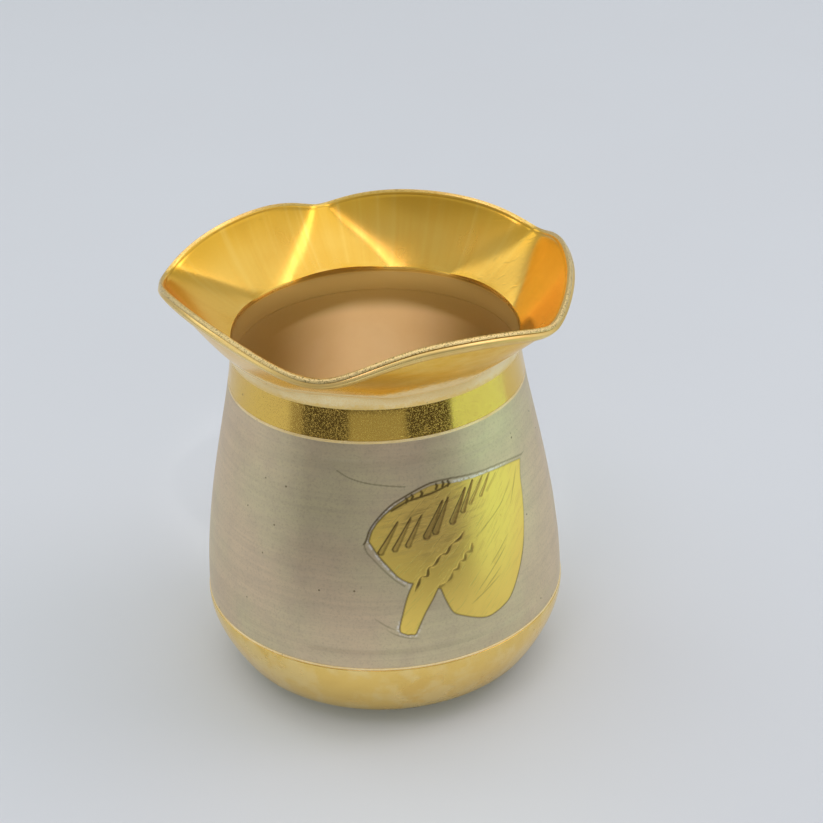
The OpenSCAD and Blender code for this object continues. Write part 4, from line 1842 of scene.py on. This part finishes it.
@dataclass
class FrilledLip:
    """The flared sheet with its milled edge, its band and the solder under its root."""

    profile: PotProfile
    frill: Frill = field(default_factory=Frill)
    stations: int = 900
    strip_stations: int = 480
    skirt: float = 2.2 * MM
    bevel: float = 0.6 * MM
    bevel_drop: float = 0.24 * MM
    tooth: float = 0.035 * MM
    swell: float = 0.10 * MM
    band_t: float = 0.6 * MM
    band_w: float = 1.6 * MM
    band_back: float = 0.32 * MM
    fillet: float = 1.1 * MM
    fillet_swell: float = 0.06 * MM
    # extra painted shade over the sheet's inner skirt
    skirt_painted_shade: float = 0.2

    def sheet_rings(self) -> RingStack:
        """Returns the lip's rings: up its inner side, round its edge and down its outer side."""
        p, f = self.profile, self.frill
        stack = RingStack(("milled", "scribed", "inside", "along", "wiped"))
        turn = np.arange(self.stations) * 360.0 / self.stations
        neck = p.neck()
        foot_z = p.root_z - self.skirt
        foot_r = float(np.interp(foot_z, neck[:, 1], neck[:, 0]))
        self.throat(stack, turn, foot_r - p.sheet, foot_z)
        for along in np.r_[0.05, 0.25, np.linspace(0.8, f.length / MM - 1.5, 18)] * MM:
            stack.put(f.ring(turn, along, 0.0), along=along / f.length)
        self.edge(stack, turn)
        for along in np.r_[np.linspace(f.length / MM - 1.8, 1.2, 16), 0.5, 0.0] * MM:
            wiped = float(fade(np.array(along), 6.0 * MM, 1.4 * MM))
            stack.put(f.ring(turn, along, f.sheet), wiped=wiped)
        stack.put(polar(turn, p.neck_r, p.root_z), wiped=1.0)
        stack.put(polar(turn, p.neck_r - p.sheet / 2, p.root_z))
        stack.put(polar(turn, foot_r - p.sheet / 2, foot_z))
        return stack

    def throat(self, stack: RingStack, turn: np.ndarray, bore: float, foot_z: float) -> None:
        """Adds the rings from the skirt's foot up to the flare, with the line scribed there.

        Args:
            stack: the rings so far.
            turn: the directions of each ring's points, in degrees.
            bore: inner radius of the skirt's foot.
            foot_z: height of the skirt's foot.
        """
        f = self.frill
        rows = cubic((bore, foot_z), (bore - 0.12 * MM, foot_z + 1.6 * MM),
                     (f.throat_r - 0.30 * MM, f.throat_z - 0.9 * MM), (f.throat_r, f.throat_z), 12)
        shift = f.ring(turn, 0.0, 0.0) - polar(turn, f.throat_r, f.throat_z)
        for step, (r, z) in enumerate(rows[:-1]):
            near = step / (len(rows) - 1)
            line = (0.0, 1.0, 0.5)[max(0, step - 9)]
            stack.put(polar(turn, r, z) + shift * near**4, scribed=line,
                      inside=1.0 if step < 10 else 0.3)

    def edge(self, stack: RingStack, turn: np.ndarray) -> None:
        """Adds the scribed line inside the rim, the bevel, the edge with its small bites and a
        painted shade line in the crease under the edge.

        Args:
            stack: the rings so far.
            turn: the directions of each ring's points, in degrees.
        """
        f = self.frill
        bend = f.length - self.bevel
        for back, dip, line in ((0.45, 0.0, 0.0), (0.3, 0.04, 0.4), (0.15, 0.0, 0.0)):
            stack.put(f.ring(turn, bend - back * MM, dip * MM), scribed=line, along=1.0)
        stack.put(f.ring(turn, bend, 0.0), along=0.5)
        for share in (0.15, 0.4, 0.7, 0.93):
            stack.put(f.ring(turn, bend + share * self.bevel, self.bevel_drop * share**1.3),
                      milled=0.15 + 0.5 * share)
        rng = np.random.default_rng(7)
        for share in (0.0, 0.12, 0.3, 0.5, 0.7, 0.88, 1.0):
            depth = self.bevel_drop + share * (f.sheet - self.bevel_drop - 0.02 * MM)
            swell = self.swell * math.sin(math.pi * share)
            bite = rng.uniform(-1.0, 0.0, self.stations) * self.tooth * min(1.0, 4 * share)
            stack.put(f.ring(turn, f.length - self.swell + swell + bite, depth), milled=1.0)
        # painted shade: a dark line on the outer face in the crease between the edge and the band
        # under it
        for back in (0.14, 0.24, 0.6):
            stack.put(f.ring(turn, f.length - back * MM, f.sheet), scribed=1.0)

    def band_rings(self, turn: np.ndarray) -> RingStack:
        """Stacks the rings of the strip under the rim, with its rounded outer edges.

        Args:
            turn: the directions of each ring's points, in degrees.

        Returns:
            The rings.
        """
        f = self.frill
        top = f.length - self.band_back
        section = ((0.0, 0.0), (-1.0, 0.0), (-0.97, 0.3), (-0.88, 0.7), (-0.76, 0.93),
                   (-0.6, 1.0), (-0.34, 1.0), (-0.30, 0.86), (-0.26, 1.0), (-0.12, 0.98),
                   (-0.04, 0.88), (0.0, 0.66))
        stack = RingStack(())
        for a, d in section:
            stack.put(f.ring(turn, top + a * self.band_w, f.sheet + d * self.band_t))
        return stack

    def fillet_rings(self, turn: np.ndarray) -> RingStack:
        """Stacks the rings of the solder's concave face and of its hidden corner.

        Args:
            turn: the directions of each ring's points, in degrees.

        Returns:
            The rings.
        """
        p, f = self.profile, self.frill
        low = polar(turn, p.neck_r, p.root_z - self.fillet)
        high = f.ring(turn, self.fillet * 1.2, f.sheet)
        handle_low = polar(turn, p.neck_r, p.root_z - self.fillet * 0.25)
        handle_high = f.ring(turn, self.fillet * 0.3, f.sheet)
        stack = RingStack(("wiped",))
        for number, t in enumerate(np.linspace(0.0, 1.0, 13)):
            s = 1 - t
            ring = (s**3 * low + 3 * s * s * t * handle_low + 3 * s * t * t * handle_high
                    + t**3 * high)
            swell = polar(turn, self.fillet_swell * math.sin(math.pi * t), 0.0) * [1, 1, 0]
            stack.put(ring + swell, wiped=min(1.0, number / 5))
        stack.put(f.ring(turn, 0.0, f.sheet), wiped=1.0)
        stack.put(polar(turn, p.neck_r, p.root_z), wiped=1.0)
        return stack

    def build(self, lip: bpy.types.Material, band: bpy.types.Material,
              solder: bpy.types.Material) -> list[Thing]:
        """Makes the three pieces of the lip and dresses them.

        Args:
            lip: the sheet's finish.
            band: the finish of the strip under the rim.
            solder: the finish of the fillet.

        Returns:
            The sheet, the band and the fillet.
        """
        sheet = self.sheet_rings().loft("frilled_sheet")
        # painted shade inside the sheet, made darker over its skirt
        painted_shade_and_tarnish = self.profile.painted_shade_and_tarnish(Bench.points(sheet)) + self.skirt_painted_shade
        Bench.mark(sheet, "painted_shade_and_tarnish", np.clip(painted_shade_and_tarnish, 0.0, 1.0))
        Bench.smooth(sheet, 30.0)
        turn = np.arange(self.strip_stations) * 360.0 / self.strip_stations
        strip = self.band_rings(turn).loft("rim_strip")
        Bench.smooth(strip, 35.0)
        fillet = self.fillet_rings(turn).loft("lip_fillet")
        Bench.smooth(fillet, 40.0)
        return [Bench.deliver(sheet, "frilled_lip", "polished_brass", lip),
                Bench.deliver(strip, "rim_band", "milled_brass", band),
                Bench.deliver(fillet, "lip_solder", "solder", solder)]


# ---------------------------------------------------------------- the table and the light


@dataclass(frozen=True)
class Eye:
    """Where the scene is seen from: a long lens that looks down on the pot from the front."""

    target: Spot = (5.47 * MM, 0.0, 45.09 * MM)
    elevation: float = 0.4956
    distance: float = 329.5 * MM
    roll: float = 0.0351
    lens: float = 87.49

    def build(self) -> Thing:
        """Sets up the camera and makes it the scene's own.

        Returns:
            The camera.
        """
        data = bpy.data.cameras.new("eye")
        data.lens, data.sensor_width, data.clip_start = self.lens, 36.0, 0.01
        camera = bpy.data.objects.new("eye", data)
        bpy.context.scene.collection.objects.link(camera)
        back = Vector((0.0, -math.cos(self.elevation), math.sin(self.elevation)))
        right = Vector((1.0, 0.0, 0.0))
        up = right.cross(-back)
        c, s = math.cos(self.roll), math.sin(self.roll)
        axes = Matrix((c * right - s * up, s * right + c * up, back)).transposed()
        camera.matrix_world = Matrix.Translation(
            Vector(self.target) + self.distance * back) @ axes.to_4x4()
        bpy.context.scene.camera = camera
        return camera


@dataclass(frozen=True)
class Softbox:
    """A soft area light that faces the pot."""

    name: str
    place: Spot
    size: tuple[float, float]
    power: float
    colour: Rgb
    aim: Spot = (0.0, 0.0, 0.04)
    mirrored: bool = True

    def make(self) -> bpy.types.Light:
        """Returns the lamp's own light."""
        light = bpy.data.lights.new(self.name, "AREA")
        light.shape, light.size, light.size_y = "RECTANGLE", *self.size
        return light

    def build(self) -> None:
        """Hangs the lamp and points it."""
        light = self.make()
        light.energy, light.color = self.power, self.colour
        lamp = bpy.data.objects.new(self.name, light)
        lamp.location = self.place
        ray = Vector(self.aim) - Vector(self.place)
        lamp.rotation_euler = ray.to_track_quat("-Z", "Y").to_euler()
        lamp.visible_glossy = self.mirrored
        bpy.context.scene.collection.objects.link(lamp)


@dataclass(frozen=True)
class Snoot(Softbox):
    """A narrow soft-edged lamp that isn't mirrored; its size is its spread and its opening."""

    mirrored: bool = False

    def make(self) -> bpy.types.Light:
        """Returns the lamp's own light."""
        light = bpy.data.lights.new(self.name, "SPOT")
        spread, opening = self.size
        light.spot_size, light.spot_blend = math.radians(spread), 1.0
        light.shadow_soft_size = opening
        return light


@dataclass(frozen=True)
class Card:
    """A card that only the polished metal mirrors: lit when it glows, dark when it doesn't."""

    name: str
    place: Spot
    size: tuple[float, float]
    glow: Rgb
    strength: float = 1.0
    lean: float = 0.0
    turn: float = 0.0

    def build(self) -> Thing:
        """Cuts the card and stands it in its place.

        Returns:
            The card, staged.
        """
        Bench.clear()
        bpy.ops.mesh.primitive_plane_add(size=1.0, location=self.place)
        card = bpy.context.object
        card.name = self.name
        card.scale = (*self.size, 1.0)
        card.rotation_euler = (self.lean, 0.0, self.turn)
        bpy.ops.object.transform_apply(location=True, rotation=True, scale=True)
        return Card.light(card, self.glow, self.strength)

    @staticmethod
    def light(card: Thing, colour: Rgb, strength: float) -> Thing:
        """Makes a card glow in mirrors only, and stages it.

        Args:
            card: the card.
            colour: the glow's colour.
            strength: the glow's strength.

        Returns:
            The same card.
        """
        material = bpy.data.materials.new(card.name)
        material.use_nodes = True
        tree = material.node_tree
        tree.nodes.clear()
        glow = tree.nodes.new("ShaderNodeEmission")
        glow.inputs["Color"].default_value = (*colour, 1.0)
        glow.inputs["Strength"].default_value = strength
        output = tree.nodes.new("ShaderNodeOutputMaterial")
        tree.links.new(glow.outputs["Emission"], output.inputs["Surface"])
        card.data.materials.append(material)
        card.visible_camera = card.visible_diffuse = card.visible_shadow = False
        return card


@dataclass(frozen=True)
class Mat:
    """A sector of a ring that lies on the table and that only the polished metal mirrors."""

    name: str
    radii: tuple[float, float]
    degrees: tuple[float, float]
    glow: Rgb
    strength: float = 1.0
    height: float = 1.0 * MM
    rise: float = 0.0

    def build(self) -> Thing:
        """Spins the sector out of one straight edge.

        Returns:
            The mat, staged.
        """
        Bench.clear()
        first, last = (math.radians(a - 90.0) for a in self.degrees)
        near, far = self.radii
        way = Vector((math.cos(first), math.sin(first), 0.0))
        bpy.ops.mesh.primitive_plane_add(size=MM, location=way * near + Vector((0, 0, self.height)))
        mat = bpy.context.object
        mat.name = self.name
        bpy.ops.object.mode_set(mode="EDIT")
        bpy.ops.mesh.select_all(action="SELECT")
        bpy.ops.mesh.merge(type="CENTER")
        step = way * (far - near) + Vector((0.0, 0.0, self.rise))
        bpy.ops.mesh.extrude_region_move(TRANSFORM_OT_translate={"value": step})
        bpy.ops.mesh.select_all(action="SELECT")
        bpy.ops.mesh.spin(steps=24, angle=last - first, center=(0.0, 0.0, 0.0),
                          axis=(0.0, 0.0, -1.0))
        bpy.ops.object.mode_set(mode="OBJECT")
        bpy.ops.object.transform_apply(location=True, rotation=True, scale=True)
        return Card.light(mat, self.glow, self.strength)


@dataclass(frozen=True)
class Studio:
    """The pale table, the soft lights and the surroundings that the brass mirrors."""

    ground: float = 4.0
    sky: Rgb = (0.95, 0.97, 1.0)
    sky_strength: float = 0.5
    boxes: tuple[Softbox, ...] = (
        Softbox("overhead", (0.2, 0.15, 1.1), (1.1, 1.2), 2.25, (1.0, 0.98, 0.95)),
        Softbox("ceiling", (0.0, -0.1, 1.3), (1.8, 1.6), 4.2, (0.97, 0.99, 1.0), mirrored=False),
        Softbox("front_lamp", (-0.19, -0.50, 0.96), (0.27, 0.25), 0.50, (1.0, 0.80, 0.98)),
        Softbox("right_lamp", (0.71, 0.0, 0.88), (0.44, 0.38), 0.80, (1.0, 0.78, 0.95)),
        Softbox("back_window", (0.55, 0.95, 0.4), (0.8, 0.5), 0.22, (1.0, 0.98, 0.95)),
        Softbox("low_front", (0.0, -1.1, 0.5), (1.2, 0.7), 2.9, (1.0, 0.99, 0.97), mirrored=False),
        Softbox("left_back", (-0.75, 0.5, 0.75), (0.5, 0.5), 0.58, (1.0, 0.97, 0.92)),
        Softbox("left_window", (-1.0, -0.15, 0.55), (0.7, 0.8), 0.7, (1.0, 0.97, 0.93)),
        Softbox("right_window", (1.0, -0.1, 0.6), (0.7, 0.8), 0.7, (1.0, 0.97, 0.93)),
    )
    mats: tuple[Mat, ...] = (
        Mat("near_shade", (0.110, 0.165), (-54.0, 54.0), (0.075, 0.07, 0.075)),
        Mat("left_shade", (0.165, 0.45), (-54.0, -20.0), (0.075, 0.07, 0.075)),
        Mat("middle_patch", (0.165, 0.45), (-20.0, 20.0), (0.34, 0.34, 0.32)),
        Mat("right_shade", (0.165, 0.45), (20.0, 54.0), (0.075, 0.07, 0.075)),
        Mat("left_half_shade", (0.110, 0.45), (-64.0, -54.0), (0.3, 0.29, 0.29)),
        Mat("right_glow", (0.110, 0.45), (54.0, 106.0), (0.75, 1.04, 0.86)),
    )
    snoots: tuple[Snoot, ...] = (
        Snoot("mouth_snoot", (0.02, -0.24, 0.36), (7.6, 0.02), 7.6, (1.0, 0.98, 0.94),
              aim=(0.0, 0.006, 0.058)),
        Snoot("foot_snoot", (0.0, -0.40, 0.10), (16.0, 0.02), 1.3, (1.0, 0.92, 0.55),
              aim=(0.0, -0.028, 0.0)),
    )
    cards: tuple[Card, ...] = (
        Card("front_wall", (-0.37, -0.75, 0.33), (0.9, 0.52), (0.34, 0.33, 0.31), 1.0,
             math.pi / 2),
    )

    def build(self, effects: SharedEffects) -> None:
        """Lays the table, hangs the lights and sets the sky.

        Args:
            effects: the shared effects.
        """
        Bench.clear()
        bpy.ops.mesh.primitive_plane_add(size=self.ground, location=(0.0, 0.0, -0.02 * MM))
        table = bpy.context.object
        table.name = "table_top"
        bpy.ops.object.transform_apply(location=True, rotation=True, scale=True)
        table.data.materials.append(PaleGround().make(effects))
        for part in (*self.boxes, *self.mats, *self.cards, *self.snoots):
            part.build()
        world = bpy.data.worlds.new("room")
        world.use_nodes = True
        back = world.node_tree.nodes["Background"]
        back.inputs["Color"].default_value = (*self.sky, 1.0)
        back.inputs["Strength"].default_value = self.sky_strength
        bpy.context.scene.world = world
        bpy.context.scene.view_settings.view_transform = "Standard"


# ---------------------------------------------------------------- assembly


def main() -> None:
    """Builds the pot, its table and its light."""
    logging.basicConfig(level=logging.INFO, format="%(name)s: %(message)s")
    profile = PotProfile.from_frame()
    effects = SharedEffects()
    solder = SolderPale().make(effects)
    pan = PolishedBrass("pan_polish", (0.95, 0.67, 0.20), hollow=True, painted_shade_below=5.5 * MM)
    BasePan(profile).build(pan.make(effects))
    SolderLine(profile, "base_solder", profile.wall(), 0.11 * MM).build("base_seam", solder)
    SatinBarrel(profile).build(SatinWall().make(effects))
    seam = SolderPale("seam_solder", (1.0, 0.82, 0.47), (0.88, 0.66, 0.30)).make(effects)
    SolderLine(profile, "neck_solder", profile.neck(), 0.02 * MM).build("neck_seam", seam)
    neck = PolishedBrass("neck_polish", (0.86, 0.57, 0.12), roughness=0.08, grain=0.008 * MM,
                         hollow=True)
    NeckCollar(profile).build(neck.make(effects))
    FrilledLip(profile).build(
        LipBrass().make(effects),
        PolishedBrass("strip_polish", (0.95, 0.70, 0.26), roughness=0.22).make(effects),
        SolderPale("fillet_solder", feathered=True).make(effects))
    Eye().build()
    Studio().build(effects)


if __name__ == "__main__":
    main()
